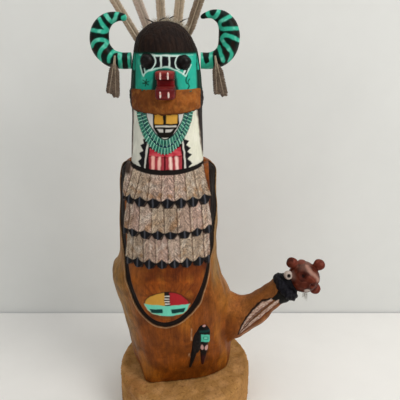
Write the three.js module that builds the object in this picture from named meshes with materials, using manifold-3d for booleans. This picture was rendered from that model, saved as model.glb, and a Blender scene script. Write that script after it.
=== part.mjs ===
// A painted kachina doll, carved from one cottonwood root and set on a round slab of raw root.
// Millimetres, +Z up. The doll faces -Y, and the origin is at the middle of the slab's underside.
// The root is one solid: foot, wrapped body, torso, masked head, side branch and the mudhead on its end.
// The horns and the feathers are made apart and fixed on.

import * as THREE from "three";
import { mergeVertices } from "three/addons/utils/BufferGeometryUtils.js";
import Module from "manifold-3d";

const wasm = await Module();
wasm.setup();

// Driving sizes.
const FIT_GAP = 0.3; // between pieces that touch
const SLAB = { radius: 68, thickness: 42, edgeRound: 3, waviness: 1.2 };
const HEAD_MIDDLE_X = -10.9; // the figure stands left of the slab's centre
const DOLL_Y = -10; // and nearer to the slab's front edge
const RIM_Z = 257.5; // the torso rises out of the wrap here
const CROWN_Z = 373; // top of the head
const FEATHER_TIP_Z = 446; // top of the longest crown feather

// The root's outline, from the foot up. At each height: left and right edges, front and back, the depth
// at which it is widest, how much its left flank narrows from there to the front, how far the front is
// turned to the left, and how square its front half is: 2 is an ellipse.
const BODY = [
  { z: SLAB.thickness + FIT_GAP, left: -54, right: 49, front: -27, back: 48, widest: 24, flank: 0.22,
    turn: 0.16, square: 3.6 },
  { z: 70, left: -57.5, right: 50.5, front: -30, back: 47, widest: 21, flank: 0.25, turn: 0.14, square: 3 },
  { z: 97, left: -62.2, right: 50, front: -33.5, back: 45, widest: 18, flank: 0.24, turn: 0.1, square: 2.6 },
  { z: 118, left: -65.2, right: 47, front: -35.5, back: 44, widest: 14.6, flank: 0.2,
    turn: 0.05, square: 2.4 },
  { z: 131, left: -66.8, right: 42.5, front: -37.5, back: 43, widest: 12, flank: 0.17, turn: 0.02 },
  { z: 142, left: -68.6, right: 37.8, front: -38.2, back: 42.4, widest: 9.8, flank: 0.14 },
  { z: 150, left: -69.4, right: 35.6, front: -38.7, back: 41.8, widest: 8.6, flank: 0.12 },
  { z: 157, left: -67, right: 34.4, front: -39.1, back: 41.3, widest: 7.4, flank: 0.09 },
  { z: 164, left: -61.6, right: 33.4, front: -39.3, back: 41, widest: 6.2, flank: 0.07 },
  { z: 172, left: -59.2, right: 32.6, front: -39.5, back: 40, widest: 5, flank: 0.06 },
  { z: 190, left: -57.4, right: 32, front: -39, back: 39, widest: 2.5, flank: 0.03 },
  { z: 215, left: -55.2, right: 31.5, front: -38, back: 37 },
  { z: 240, left: -53.8, right: 31, front: -35, back: 35 },
  { z: 252, left: -52.8, right: 30.4, front: -31, back: 33 },
  { z: 257, left: -51.6, right: 29, front: -27.5, back: 31 },
  { z: 260.5, left: -47, right: 24, front: -23, back: 27 },
].map((row) => ({ widest: 0, flank: 0, turn: 0, square: 2.25, ...row }));
const ROUND_BACK = 2.2; // how square the back half is
const FIGURE = [
  { z: RIM_Z - 12, left: -43.6, right: 19.6, front: -26, back: 26 },
  { z: 279, left: -41.6, right: 19.2, front: -25.5, back: 26 },
  { z: 302, left: -40, right: 18.5, front: -25, back: 26 },
  { z: 305.5, left: -40.4, right: 18.8, front: -28, back: 28 },
  { z: 313, left: -40.6, right: 18.9, front: -29.6, back: 29 },
  { z: 320.5, left: -40.2, right: 18.4, front: -28, back: 27.8 },
  { z: 323.5, left: -39.4, right: 17.6, front: -26.6, back: 26.8 },
  { z: 335, left: -38.2, right: 16.6, front: -26.3, back: 26.5 },
  { z: 350, left: -36, right: 14.2, front: -25.3, back: 25.5 },
  { z: 357, left: -35, right: 12, front: -23.6, back: 24.3 },
  { z: 363, left: -33.2, right: 9.2, front: -20.6, back: 21.8 },
  { z: 368, left: -28.5, right: 4.6, front: -16, back: 17.4 },
  { z: 371.5, left: -21.5, right: -2, front: -9.5, back: 10.5 },
  { z: CROWN_Z, left: -14, right: -9, front: -2.5, back: 3 },
].map((row) => ({ widest: 0, flank: 0, turn: 0, square: 2.25, ...row }));

// The side branch, from inside the trunk to the mudhead's neck: its upper and lower edges, and its depth.
const BRANCH = [
  { top: [18, 150], low: [22, 60], deep: 46, y: 12 },
  { top: [34, 132], low: [38, 63], deep: 44, y: 11 },
  { top: [45, 122.8], low: [50, 70], deep: 40, y: 9 },
  { top: [59, 118.8], low: [61.3, 79.5], deep: 34, y: 6.5 },
  { top: [69.4, 124], low: [75.2, 93], deep: 30, y: 4.5 },
  { top: [79.6, 132.8], low: [87.2, 105.8], deep: 28, y: 3 },
  { top: [87, 140.6], low: [95.8, 114.4], deep: 26, y: 2 },
  { top: [93.6, 147], low: [104.3, 121], deep: 24, y: 1 },
  { top: [101.5, 148.5], low: [110.5, 131.5], deep: 18, y: 0 },
];
const MUDHEAD = { x: 115.9, y: 0, z: 145.8, radius: 14.8 };
const KNOBS = [ // from the ball's middle
  { x: -12.2, z: 15.2, radius: 5.4 }, { x: 13.6, z: 12.8, radius: 5.7 }, { x: 12, z: -12.8, radius: 5.3 },
];

// Horns: a short straight root out of the head, then three quarters of a ring that thins to its tip.
// The middle line of each, as distance out from the head's middle, and height.
const HORN_LINES = {
  left: [[28, 343.9], [36, 343.9], [44.7, 346.2], [51.2, 352.9], [52.9, 360.6], [50.7, 368.7], [44.7, 374.7],
    [36.6, 376.9], [29.9, 375.6]],
  right: [[28, 343.9], [36, 343.9], [43.6, 346.4], [49, 352.4], [50.7, 361], [49.4, 369.4], [45, 375.6],
    [38.6, 378.7], [33.4, 379.4], [30, 379.6]],
};
const HORN = { base: 6.4, tip: 2.8 };
const HORN_THICK = { left: 7.7, right: 8.5 };

const FEATHER_THICK = 1.1;

const colours = {
  slab: 0x96703f,
  wood: 0x8a4a1a,
  horn: 0x2fa98c,
  palePlume: 0xb9a58c,
  darkPlume: 0x5b4c3c,
};

// The value between two rows at height z, eased so that the outline has no corners.
function rowAt(rows, z) {
  let i = 1;
  while (i < rows.length - 1 && z > rows[i].z) i++;
  const row = {};
  const [a, b] = [rows[i - 1], rows[i]];
  const [before, after] = [rows[Math.max(i - 2, 0)], rows[Math.min(i + 1, rows.length - 1)]];
  const t = THREE.MathUtils.clamp((z - a.z) / (b.z - a.z), 0, 1);
  for (const key of Object.keys(a)) {
    const slopeA = (b[key] - before[key]) / Math.max(b.z - before.z, 1e-6) * (b.z - a.z);
    const slopeB = (after[key] - a[key]) / Math.max(after.z - a.z, 1e-6) * (b.z - a.z);
    const [t2, t3] = [t * t, t * t * t];
    row[key] = (2 * t3 - 3 * t2 + 1) * a[key] + (t3 - 2 * t2 + t) * slopeA
      + (3 * t2 - 2 * t3) * b[key] + (t3 - t2) * slopeB;
  }
  row.z = z;
  return row;
}

// A point on a row's section: the angle runs from +X towards +Y.
function sectionPoint(row, angle) {
  const power = 2 / (Math.sin(angle) < 0 ? row.square : ROUND_BACK);
  const bulge = (v) => Math.sign(v) * Math.abs(v) ** power;
  const [across, along] = [bulge(Math.cos(angle)), bulge(Math.sin(angle))];
  const middle = (row.left + row.right) / 2;
  const forward = Math.max(-along, 0);
  const half = ((row.right - row.left) / 2) * (1 - row.flank * forward * (across < 0 ? 1 : 0.4));
  const depth = along < 0 ? row.widest - row.front : row.back - row.widest;
  const y = row.widest + depth * along + row.turn * half * across * forward;
  return new THREE.Vector3(middle + half * across, y, row.z);
}

// The depth of the front surface at x, on the row at height z, found by halving the angle's range.
function frontOf(rows, x, z) {
  const row = rowAt(rows, z);
  let [from, to] = [-Math.PI, 0];
  for (let i = 0; i < 20; i++) {
    const half = (from + to) / 2;
    if (sectionPoint(row, half).x < x) from = half;
    else to = half;
  }
  return sectionPoint(row, from).y;
}

// A closed skin over rings of points. Rings run anticlockwise seen from the last ring's side.
function skin(rings) {
  const points = rings.flat();
  const count = rings[0].length;
  const faces = [];
  const middle = (ring) => ring.reduce((sum, p) => sum.add(p), new THREE.Vector3()).divideScalar(count);
  for (let r = 0; r < rings.length - 1; r++) {
    for (let i = 0; i < count; i++) {
      const [a, b] = [r * count + i, r * count + (i + 1) % count];
      faces.push(a, b, b + count, a, b + count, a + count);
    }
  }
  const [first, last] = [points.length, points.length + 1];
  points.push(middle(rings[0]), middle(rings.at(-1)));
  const top = (rings.length - 1) * count;
  for (let i = 0; i < count; i++) {
    const next = (i + 1) % count;
    faces.push(first, next, i, last, top + i, top + next);
  }
  return new THREE.BufferGeometry().setFromPoints(points).setIndex(faces);
}

// Rings of a section swept along a path; sectionAt(t) gives its outline in the path's own plane.
function sweep(path, steps, sectionAt) {
  const up = new THREE.Vector3(0, -1, 0);
  const rings = [];
  for (let i = 0; i <= steps; i++) {
    const t = i / steps;
    const ahead = path.getTangent(t);
    const side = new THREE.Vector3().crossVectors(up, ahead).normalize();
    const rise = new THREE.Vector3().crossVectors(ahead, side);
    const centre = path.getPoint(t);
    rings.push(sectionAt(t).map(([u, v]) =>
      centre.clone().addScaledVector(side, u).addScaledVector(rise, v)));
  }
  return skin(rings);
}

function ellipsePoints(a, b, count) {
  return Array.from({ length: count }, (_, i) => {
    const angle = (i / count) * 2 * Math.PI;
    return [a * Math.cos(angle), b * Math.sin(angle)];
  });
}

// Solids, for joining and cutting.
function toSolid(geometry) {
  const flat = new THREE.BufferGeometry();
  flat.setAttribute("position", geometry.getAttribute("position").clone());
  if (geometry.index) flat.setIndex(geometry.index.clone());
  const merged = mergeVertices(flat, 1e-3);
  return new wasm.Manifold(new wasm.Mesh({
    numProp: 3,
    vertProperties: merged.attributes.position.array,
    triVerts: new Uint32Array(merged.index.array),
  }));
}

function toGeometry(solid) {
  const mesh = solid.getMesh();
  return new THREE.BufferGeometry()
    .setAttribute("position", new THREE.BufferAttribute(new Float32Array(mesh.vertProperties), 3))
    .setIndex(new THREE.BufferAttribute(new Uint32Array(mesh.triVerts), 1));
}

function ball(x, y, z, radius, around = 16, scale = [1, 1, 1]) {
  return toSolid(new THREE.SphereGeometry(radius, around, Math.round(around * 0.6))
    .scale(...scale).translate(x, y, z));
}

function block(width, depth, height, x, y, z, turn = 0) {
  return toSolid(new THREE.BoxGeometry(width, depth, height)
    .rotateX(turn).translate(x, y, z));
}

// The foot, trunk and wrap, lofted over the body rows.
function body() {
  const heights = [BODY[0].z, 56, 70, 84, 97, 108, 118, 131, 138, 144, 150, 154, 158, 164, 172, 190,
    215, 240, 247, 252, 255, 257, 259, BODY.at(-1).z];
  return toSolid(skin(heights.map((z) => ring(BODY, z, 38))));
}

function ring(rows, z, count) {
  const row = rowAt(rows, z);
  return Array.from({ length: count }, (_, i) => sectionPoint(row, (i / count) * 2 * Math.PI));
}

// Torso, ruff, mask and hair cap.
function figure() {
  const heights = [FIGURE[0].z, 279, 302, 303.5, 305.5, 309, 313, 317, 320.5, 322, 323.5,
    335, 350, 354, 358, 362, 365.5, 368, 370, 371.5, 372.5, CROWN_Z];
  return toSolid(skin(heights.map((z) => ring(FIGURE, z, 36))));
}

// The open mouth: two square jaws that stand out from the mask.
function snout() {
  const [width, reach, faceY] = [15.7, 15, -24];
  const x = HEAD_MIDDLE_X + 1.6;
  const upper = block(width, reach, 6, x, faceY - reach / 2, 335.4, -0.05);
  const lower = block(width, reach + 1, 9, x, faceY - reach / 2 - 0.5, 322.6, 0.1);
  const throat = block(width - 2, reach - 7, 10, x, faceY - (reach - 7) / 2, 329);
  return upper.add(lower).add(throat);
}

function eyes() {
  const places = [{ x: -23.6, z: 344.2 }, { x: 4.2, z: 343 }];
  return places.map(({ x, z }) => ball(x, frontOf(FIGURE, x, z) + 0.6, z, 5.4, 12, [1, 0.8, 1]));
}

// The three rows of carved feathers: each row is a shallow shingle with a pointed tip under each feather.
const PLUME_ROWS = [
  { top: RIM_Z - 1.5, tip: 230.4, left: -46.4, right: 24.6, count: 7 },
  { top: 233, tip: 202.4, left: -46.2, right: 24.4, count: 7 },
  { top: 205, tip: 175.6, left: -44, right: 21.5, count: 6 },
];
const PLUME = { lift: 1.8, notch: 4.2, skinDepth: 5 };

function plumeRow({ top, tip, left, right, count }) {
  const pitch = (right - left) / count;
  const middle = (left + right) / 2;
  const rings = [];
  for (let i = 0; i < count; i++) {
    for (const [share, notch] of [[0.02, PLUME.notch], [0.35, 0], [0.65, 0], [0.98, PLUME.notch]]) {
      const x = left + (i + share) * pitch;
      const low = tip + notch + 0.0042 * (x - middle) ** 2;
      const [topY, lowY] = [frontOf(BODY, x, top - 2), frontOf(BODY, x, low) - PLUME.lift];
      rings.push([[lowY + PLUME.skinDepth, low], [topY + PLUME.skinDepth, top], [topY, top], [lowY, low]]
        .map(([y, z]) => new THREE.Vector3(x, y, z)));
    }
  }
  return toSolid(skin(rings));
}

// The gouged line that frames the panel: down one side, round the bottom and up the other, in x and z.
const PANEL = [[-49.5, 250], [-49.8, 235], [-49.8, 215], [-48.9, 190], [-46.2, 166], [-42, 145], [-34, 126.5],
  [-26.4, 120], [-15.2, 116.9], [-3.3, 121.2], [6.9, 129.2], [17.1, 143.8], [22.5, 161.4], [25.2, 179.5],
  [27, 198], [27.8, 220], [27.8, 235], [27.4, 250]];
const GROOVE = { wide: 4.6, deep: 1.1 };

class PanelLine extends THREE.Curve {
  getPoint(t) {
    const flat = new THREE.SplineCurve(PANEL.map(([x, z]) => new THREE.Vector2(x, z))).getPoint(t);
    return new THREE.Vector3(flat.x, frontOf(BODY, flat.x, flat.y), flat.y);
  }
}

function panelGroove() {
  const { wide, deep } = GROOVE;
  const above = 4;
  const section = [[-wide / 2, -deep], [wide / 2, -deep], [wide / 2, above], [-wide / 2, above]];
  return sweep(new PanelLine(), 36, () => section);
}

function branch() {
  const line = (edge) => new THREE.CatmullRomCurve3(
    BRANCH.map((row) => new THREE.Vector3(row[edge][0], row.y, row[edge][1])));
  const [topLine, lowLine] = [line("top"), line("low")];
  const steps = 14;
  const rings = Array.from({ length: steps + 1 }, (_, i) => {
    const t = i / steps;
    const [top, low] = [topLine.getPoint(t), lowLine.getPoint(t)];
    const k = Math.min(Math.floor(t * (BRANCH.length - 1)), BRANCH.length - 2);
    const deep = THREE.MathUtils.lerp(BRANCH[k].deep, BRANCH[k + 1].deep, t * (BRANCH.length - 1) - k);
    const centre = top.clone().add(low).multiplyScalar(0.5);
    return ellipsePoints(deep / 2, 1, 16).map(([y, up]) =>
      centre.clone().addScaledVector(top.clone().sub(low), up / 2).add(new THREE.Vector3(0, y, 0)));
  });
  return toSolid(skin(rings));
}

// The mudhead: a ball with clay knobs, a ring mouth and one ear disc.
function mudhead() {
  const { x, y, z, radius } = MUDHEAD;
  const knobs = KNOBS.flatMap((knob) => [ball(x + knob.x, y, z + knob.z, knob.radius, 10),
    ball(x + knob.x * 0.72, y, z + knob.z * 0.72, 3.6, 8)]);
  const rearKnob = ball(x + 2, y + radius + 1, z + 4, 5, 10);
  const ear = ball(x - radius - 1, y - 5, z + 3, 4, 10, [0.9, 1, 1]);
  const mouth = new THREE.TorusGeometry(3.6, 1.3, 5, 12)
    .rotateX(Math.PI / 2).translate(x - 1.2, y - radius + 0.4, z + 0.2);
  return [ball(x, y, z, radius, 18), ...knobs, rearKnob, ear, toSolid(mouth)];
}

// A small figure in low relief on the trunk's lower right: hair, square face and a pointed skirt.
function smallFigure() {
  const on = (x, z, proud) => [x, frontOf(BODY, x, z) + proud, z];
  const hair = ball(...on(17.5, 104, 1.2), 8.4, 10, [1, 0.4, 1.1]);
  const lock = ball(...on(11, 84, 1.4), 19, 10, [0.2, 0.16, 1.1]);
  const [faceX, faceY, faceZ] = on(21.7, 100.5, 0.4);
  const face = block(8.3, 5, 9, faceX, faceY, faceZ);
  const skirt = ball(...on(20.2, 84, 1.8), 13, 10, [0.3, 0.22, 1.1]);
  return [hair, lock, face, skirt];
}

function carvedRoot() {
  let root = body().add(figure()).add(branch());
  root = root.subtract(toSolid(panelGroove()));
  const raised = [snout(), ...eyes(), ...PLUME_ROWS.map(plumeRow), ...mudhead(), ...smallFigure()];
  return raised.reduce((whole, part) => whole.add(part), root);
}

function slab() {
  const { radius, thickness, edgeRound, waviness } = SLAB;
  const profile = [
    [0, radius - edgeRound * 0.6], [edgeRound * 0.5, radius], [thickness - edgeRound, radius - 0.4],
    [thickness - edgeRound * 0.3, radius - 1.2], [thickness, radius - edgeRound],
  ];
  const rings = profile.map(([z, r]) => Array.from({ length: 40 }, (_, i) => {
    const angle = (i / 40) * 2 * Math.PI;
    const wave = waviness * (0.6 * Math.sin(3 * angle + 0.7) + 0.4 * Math.sin(7 * angle + 2));
    return new THREE.Vector3((r + wave) * Math.cos(angle), (r + wave) * Math.sin(angle), z);
  }));
  return skin(rings);
}

// The horn swells over its first half, then thins to a rounded tip.
function hornRadius(t, thick) {
  const { base, tip } = HORN;
  const { lerp, smoothstep } = THREE.MathUtils;
  const swollen = t < 0.5
    ? lerp(base, thick, smoothstep(t, 0.05, 0.5))
    : lerp(thick, tip, smoothstep(t, 0.5, 1.05));
  const round = (t - 0.96) / 0.042;
  return round > 0 ? swollen * Math.sqrt(Math.max(1 - round * round, 0.1)) : swollen;
}

function horn(side) {
  const line = new THREE.CatmullRomCurve3(
    HORN_LINES[side].map(([x, z]) => new THREE.Vector3(x, 0, z)), false, "catmullrom", 0.5);
  const section = (t) => ellipsePoints(hornRadius(t, HORN_THICK[side]), hornRadius(t, HORN_THICK[side]), 12);
  const shape = sweep(line, 24, section);
  return side === "left" ? flip(shape) : shape;
}

// The mirror image in X, with its faces turned back to point outwards.
function flip(geometry) {
  geometry.scale(-1, 1, 1);
  const index = geometry.index.array;
  for (let i = 0; i < index.length; i += 3) [index[i], index[i + 1]] = [index[i + 1], index[i]];
  return geometry;
}

// A flat feather along +Z from its quill's end, with a bare quill below the vane.
function feather(length, wide, bare, thick = FEATHER_THICK) {
  const quill = 0.9;
  const levels = [
    [0, quill * 0.8], [bare, quill], [bare + 4, wide * 0.36], [bare + (length - bare) * 0.3, wide * 0.5],
    [bare + (length - bare) * 0.65, wide * 0.5], [length * 0.93, wide * 0.34], [length, wide * 0.07],
  ];
  const rings = levels.map(([z, half]) => {
    const bow = 0.00035 * z * z;
    const edge = z > bare ? thick * 0.3 : thick * 0.5;
    return [[half, 0], [half * 0.3, edge + 0.25], [-half * 0.3, edge + 0.25], [-half, 0],
      [-half * 0.3, -edge], [half * 0.3, -edge]].map(([x, y]) => new THREE.Vector3(x, y + bow, z));
  });
  return skin(rings);
}

// Crown feathers stand in a row behind the head: foot of the quill, lean to the side in degrees, tip height.
const CROWN_FEATHERS = [
  { x: -26.6, y: 22.5, z: 345, lean: -31.5, tip: 418, wide: 7.4 },
  { x: -21.5, y: 24.8, z: 353, lean: -20.5, tip: 436, wide: 8.4 },
  { x: -15, y: 25.6, z: 355, lean: -2.8, tip: FEATHER_TIP_Z, wide: 7.8 },
  { x: -5, y: 25.4, z: 355, lean: 7.5, tip: 443, wide: 8.6 },
  { x: 1.8, y: 24.2, z: 352, lean: 20, tip: 430, wide: 8.2 },
];

function crownFeather({ x, y, z, lean, tip, wide }) {
  const angle = THREE.MathUtils.degToRad(lean);
  const mesh = new THREE.Mesh(
    feather((tip - z) / Math.cos(angle), wide, 9),
    new THREE.MeshStandardMaterial({ color: colours.palePlume, roughness: 0.85, metalness: 0 }),
  );
  mesh.position.set(x, y + DOLL_Y, z);
  mesh.rotation.set(-0.02, angle, 0);
  return mesh;
}

// A pair of small feathers tied to a horn by one quill: they hang down and part towards their tips.
function hangingFeathers() {
  const long = feather(32.5, 7.6, 7, 1.4).rotateY(-0.08);
  const short = feather(30, 7.2, 7, 1.4).rotateY(0.1);
  const pair = toSolid(long).add(toSolid(short));
  return toGeometry(pair).rotateX(Math.PI);
}

const doll = new THREE.Group();
doll.name = "kachina_doll";

function place(name, geometry, color, roughness, x = 0, y = 0, z = 0) {
  const mesh = new THREE.Mesh(geometry, new THREE.MeshStandardMaterial({ color, roughness, metalness: 0 }));
  mesh.name = name;
  mesh.position.set(x, y, z);
  doll.add(mesh);
  return mesh;
}

place("base_slab", slab(), colours.slab, 0.9);
place("carved_root", toGeometry(carvedRoot()), colours.wood, 0.5, 0, DOLL_Y, 0);
place("horn_right", horn("right"), colours.horn, 0.45, HEAD_MIDDLE_X, DOLL_Y, 0);
place("horn_left", horn("left"), colours.horn, 0.45, HEAD_MIDDLE_X, DOLL_Y, 0);
CROWN_FEATHERS.forEach((row, i) => {
  const mesh = crownFeather(row);
  mesh.name = `crown_feather_${i + 1}`;
  doll.add(mesh);
});
const TIE = { x: 39.4, y: -9.4, z: 348 }; // where each pair is tied, from the head's middle
const leftPair = place("horn_feathers_left", hangingFeathers(), colours.darkPlume, 0.85,
  HEAD_MIDDLE_X - TIE.x, TIE.y + DOLL_Y, TIE.z);
leftPair.rotation.y = 0.12;
const rightPair = place("horn_feathers_right", hangingFeathers(), colours.darkPlume, 0.85,
  HEAD_MIDDLE_X + TIE.x, TIE.y + DOLL_Y, TIE.z);
rightPair.rotation.y = -0.16;

export default doll;
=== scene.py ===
"""A kachina doll carved from one cottonwood root, painted, feathered and set on a slab of raw root.

The doll is drawn in millimetres, +Z up and facing -Y, and its meshes are made in metres.
Its outlines are the CAD part's own, so each piece lies on the solid that it stands for.
"""

import math

import bmesh
import bpy
import numpy as np
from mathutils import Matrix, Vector


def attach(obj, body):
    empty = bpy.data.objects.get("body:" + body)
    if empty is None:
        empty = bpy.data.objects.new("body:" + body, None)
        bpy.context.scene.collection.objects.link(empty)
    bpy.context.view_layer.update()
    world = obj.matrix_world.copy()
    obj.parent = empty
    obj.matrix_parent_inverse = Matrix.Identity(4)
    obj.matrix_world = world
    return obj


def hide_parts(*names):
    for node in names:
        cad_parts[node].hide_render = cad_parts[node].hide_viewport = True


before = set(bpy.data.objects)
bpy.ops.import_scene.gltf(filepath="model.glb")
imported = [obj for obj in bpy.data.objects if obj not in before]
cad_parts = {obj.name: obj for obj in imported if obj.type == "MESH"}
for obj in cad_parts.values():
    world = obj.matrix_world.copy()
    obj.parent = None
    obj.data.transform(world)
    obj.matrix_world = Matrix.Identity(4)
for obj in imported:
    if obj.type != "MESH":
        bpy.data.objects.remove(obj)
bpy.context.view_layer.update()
MM = 0.001
scene = bpy.context.scene


# ---------------------------------------------------------------- camera, light and the table it stands on

LIGHTS = [  # name, place and size in metres, watts, tint
    ("window", (0.95, -0.75, 1.1), 0.8, 11.5, "#fffaf4"),
    ("room", (-0.8, -0.9, 0.8), 1.0, 2.8, "#f7f2ea"),
    ("ceiling", (0.15, -0.2, 1.7), 1.3, 7.5, "#ffffff")]
LIT_POINT = (0, 0, 0.2)  # the middle of the doll, which every light faces
CAMERA_PLACE, CAMERA_TILT, CAMERA_LENS = (0.01659, -0.390, 0.3624), 70, 40.5


def set_up_studio():
    """The doll stands on a white table before a pale wall, in soft light from above and in front."""
    camera = bpy.data.objects.new("camera", bpy.data.cameras.new("camera"))
    camera.data.lens, camera.data.sensor_width = CAMERA_LENS, 36
    camera.data.clip_start = 0.01
    camera.location = CAMERA_PLACE
    camera.rotation_euler = (math.radians(CAMERA_TILT), 0, 0)
    scene.collection.objects.link(camera)
    scene.camera = camera
    scene.view_settings.view_transform = "Standard"
    for name, place, size, power, tint in LIGHTS:
        lamp = bpy.data.lights.new(name, "AREA")
        lamp.shape, lamp.size, lamp.energy, lamp.color = "DISK", size, power, srgb(tint)
        light = bpy.data.objects.new(name, lamp)
        light.location = place
        aim = np.array(LIT_POINT) - np.array(place)
        light.rotation_euler = Vector(aim).to_track_quat("-Z", "Y").to_euler()
        scene.collection.objects.link(light)
    world = bpy.data.worlds.new("room light")
    world.use_nodes = True
    world.node_tree.nodes["Background"].inputs[0].default_value = (*srgb("#eef0f2"), 1)
    world.node_tree.nodes["Background"].inputs[1].default_value = 0.28
    scene.world = world


def srgb(hex_colour):
    """Linear red, green and blue of an sRGB hex value."""
    part = np.array([int(hex_colour[i:i + 2], 16) for i in (1, 3, 5)]) / 255
    return np.where(part <= 0.04045, part / 12.92, ((part + 0.055) / 1.055) ** 2.4)


# ---------------------------------------------------------------- the carver's outlines, as in the CAD part

# z, left, right, front, back, depth of the widest line, flank, turn, squareness of the front half
BODY = np.array([
    (42.3, -54, 49, -27, 48, 24, 0.22, 0.16, 3.6), (70, -57.5, 50.5, -30, 47, 21, 0.25, 0.14, 3),
    (97, -62.2, 50, -33.5, 45, 18, 0.24, 0.1, 2.6), (118, -65.2, 47, -35.5, 44, 14.6, 0.2, 0.05, 2.4),
    (131, -66.6, 42.5, -37.5, 43, 12, 0.17, 0.02, 2.25), (142, -68.1, 37.8, -38.2, 42.4, 9.8, 0.14, 0, 2.25),
    (150, -68.9, 35.6, -38.7, 41.8, 8.6, 0.12, 0, 2.25), (157, -66.7, 34.4, -39.1, 41.3, 7.4, 0.09, 0, 2.25),
    (164, -61.6, 33.4, -39.3, 41, 6.2, 0.07, 0, 2.25), (172, -59.2, 32.6, -39.5, 40, 5, 0.06, 0, 2.25),
    (190, -57.4, 32, -39, 39, 2.5, 0.03, 0, 2.25), (215, -55.2, 31.5, -38, 37, 0, 0, 0, 2.25),
    (240, -53.8, 31, -35, 35, 0, 0, 0, 2.25), (252, -52.8, 30.4, -31, 33, 0, 0, 0, 2.25),
    (257, -51.6, 29, -27.5, 31, 0, 0, 0, 2.25), (260.5, -47, 24, -23, 27, 0, 0, 0, 2.25)])
FIGURE = np.array([(*row, 0, 0, 0, 2.25) for row in [
    (245.5, -43.6, 19.6, -26, 26), (279, -41.6, 19.2, -25.5, 26), (302, -40, 18.5, -25, 26),
    (305.5, -40.4, 18.8, -28, 28), (313, -40.6, 18.9, -29.6, 29), (320.5, -40.2, 18.4, -28, 27.8),
    (323.5, -39.4, 17.6, -26.6, 26.8), (335, -38.2, 16.6, -26.3, 26.5), (350, -36, 14.2, -25.3, 25.5),
    (357, -34.5, 11.6, -23.6, 24.3), (363, -32, 8.2, -20.6, 21.8), (368, -27, 3.4, -16, 17.4),
    (371.5, -21.5, -2, -9.5, 10.5), (373, -14, -9, -2.5, 3)]])
BODY_LOW, BODY_TOP = BODY[0, 0], BODY[-1, 0]
ROUND_BACK = 2.2
# The side branch from inside the trunk: upper edge x, z, lower edge x, z, depth, y of its middle
BRANCH = np.array([
    (18, 150, 22, 60, 46, 12), (34, 132, 38, 63, 44, 11), (45, 122.8, 50, 70, 40, 9),
    (59, 118.8, 61.3, 79.5, 34, 6.5),
    (69.4, 124, 75.2, 93, 30, 4.5), (79.6, 132.8, 87.2, 105.8, 28, 3), (87, 140.6, 95.8, 114.4, 26, 2),
    (93.6, 147, 104.3, 121, 24, 1), (101.5, 148.5, 110.5, 131.5, 18, 0)])
HEAD_X = -10.9
DOLL_Y = -10  # the doll stands nearer to the slab's front edge


def row_at(rows, z):
    """The outline's sizes at each height, eased so that it has no corners."""
    z = np.atleast_1d(np.asarray(z, float))
    i = np.clip(np.searchsorted(rows[:, 0], z), 1, len(rows) - 1)
    a, b = rows[i - 1], rows[i]
    before, after = rows[np.maximum(i - 2, 0)], rows[np.minimum(i + 1, len(rows) - 1)]
    span = b[:, :1] - a[:, :1]
    t = np.clip((z[:, None] - a[:, :1]) / span, 0, 1)
    slope_a = (b - before) / np.maximum(b[:, :1] - before[:, :1], 1e-6) * span
    slope_b = (after - a) / np.maximum(after[:, :1] - a[:, :1], 1e-6) * span
    row = ((2 * t**3 - 3 * t**2 + 1) * a + (t**3 - 2 * t**2 + t) * slope_a
           + (3 * t**2 - 2 * t**3) * b + (t**3 - t**2) * slope_b)
    row[:, 0] = z
    return row


def section(rows, z, angle):
    """Points round the outline. The angle runs from +X towards +Y."""
    angle = np.asarray(angle, float)
    z, left, right, front, back, widest, flank, turn, square = row_at(rows, z).T
    power = 2 / np.where(np.sin(angle) < 0, square, ROUND_BACK)
    across = np.sign(np.cos(angle)) * np.abs(np.cos(angle)) ** power
    along = np.sign(np.sin(angle)) * np.abs(np.sin(angle)) ** power
    forward = np.maximum(-along, 0)
    half = (right - left) / 2 * (1 - flank * forward * np.where(across < 0, 1, 0.4))
    depth = np.where(along < 0, widest - front, back - widest)
    y = widest + depth * along + turn * half * across * forward
    return np.stack(np.broadcast_arrays((left + right) / 2 + half * across, y, z), -1)


def front_of(rows, x, z):
    """Depth of the front surface at x and z."""
    x, z = np.broadcast_arrays(np.asarray(x, float), np.asarray(z, float))
    low, high = np.full(x.shape, -math.pi), np.zeros(x.shape)
    for _ in range(22):
        middle = (low + high) / 2
        short = section(rows, z.ravel(), middle.ravel())[:, 0].reshape(x.shape) < x
        low, high = np.where(short, middle, low), np.where(short, high, middle)
    return section(rows, z.ravel(), low.ravel())[:, 1].reshape(x.shape)


def around(rows, heights, start, end, columns):
    """A grid of points on an outline, evenly spaced round it from one angle to another at each height."""
    angle = np.linspace(start, end, 721)
    return np.stack([evenly(section(rows, np.full(angle.shape, z), angle), columns) for z in heights])


def evenly(line, count):
    """Points spaced evenly along a line."""
    run = np.concatenate([[0], np.cumsum(np.linalg.norm(np.diff(line, axis=0), axis=1))])
    spot = np.linspace(0, run[-1], count)
    return np.stack([np.interp(spot, run, axis) for axis in line.T], 1)


def heights_along(rows, low, high, step):
    """Heights that are evenly spaced along the outline's profile, so that domes stay fine."""
    z = np.linspace(low, high, 3000)
    row = row_at(rows, z)
    rise = np.abs(np.diff(row[:, [0, 2, 3]], axis=0))
    run = np.concatenate([[0], np.cumsum(np.hypot(rise[:, 0], rise[:, 1:].max(1)))])
    return np.append(np.interp(np.arange(0, run[-1] - step / 2, step), run, z), high)


# ---------------------------------------------------------------- shapes: points in mm and their faces

def grid_faces(rows, columns, closed=False):
    index = np.arange(rows * columns).reshape(rows, columns)
    if closed:
        index = np.concatenate([index, index[:, :1]], 1)
    return np.stack([index[:-1, :-1], index[:-1, 1:], index[1:, 1:], index[1:, :-1]], -1).reshape(-1, 4)


def unit(ways):
    return ways / np.maximum(np.linalg.norm(ways, axis=-1, keepdims=True), 1e-9)


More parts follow.
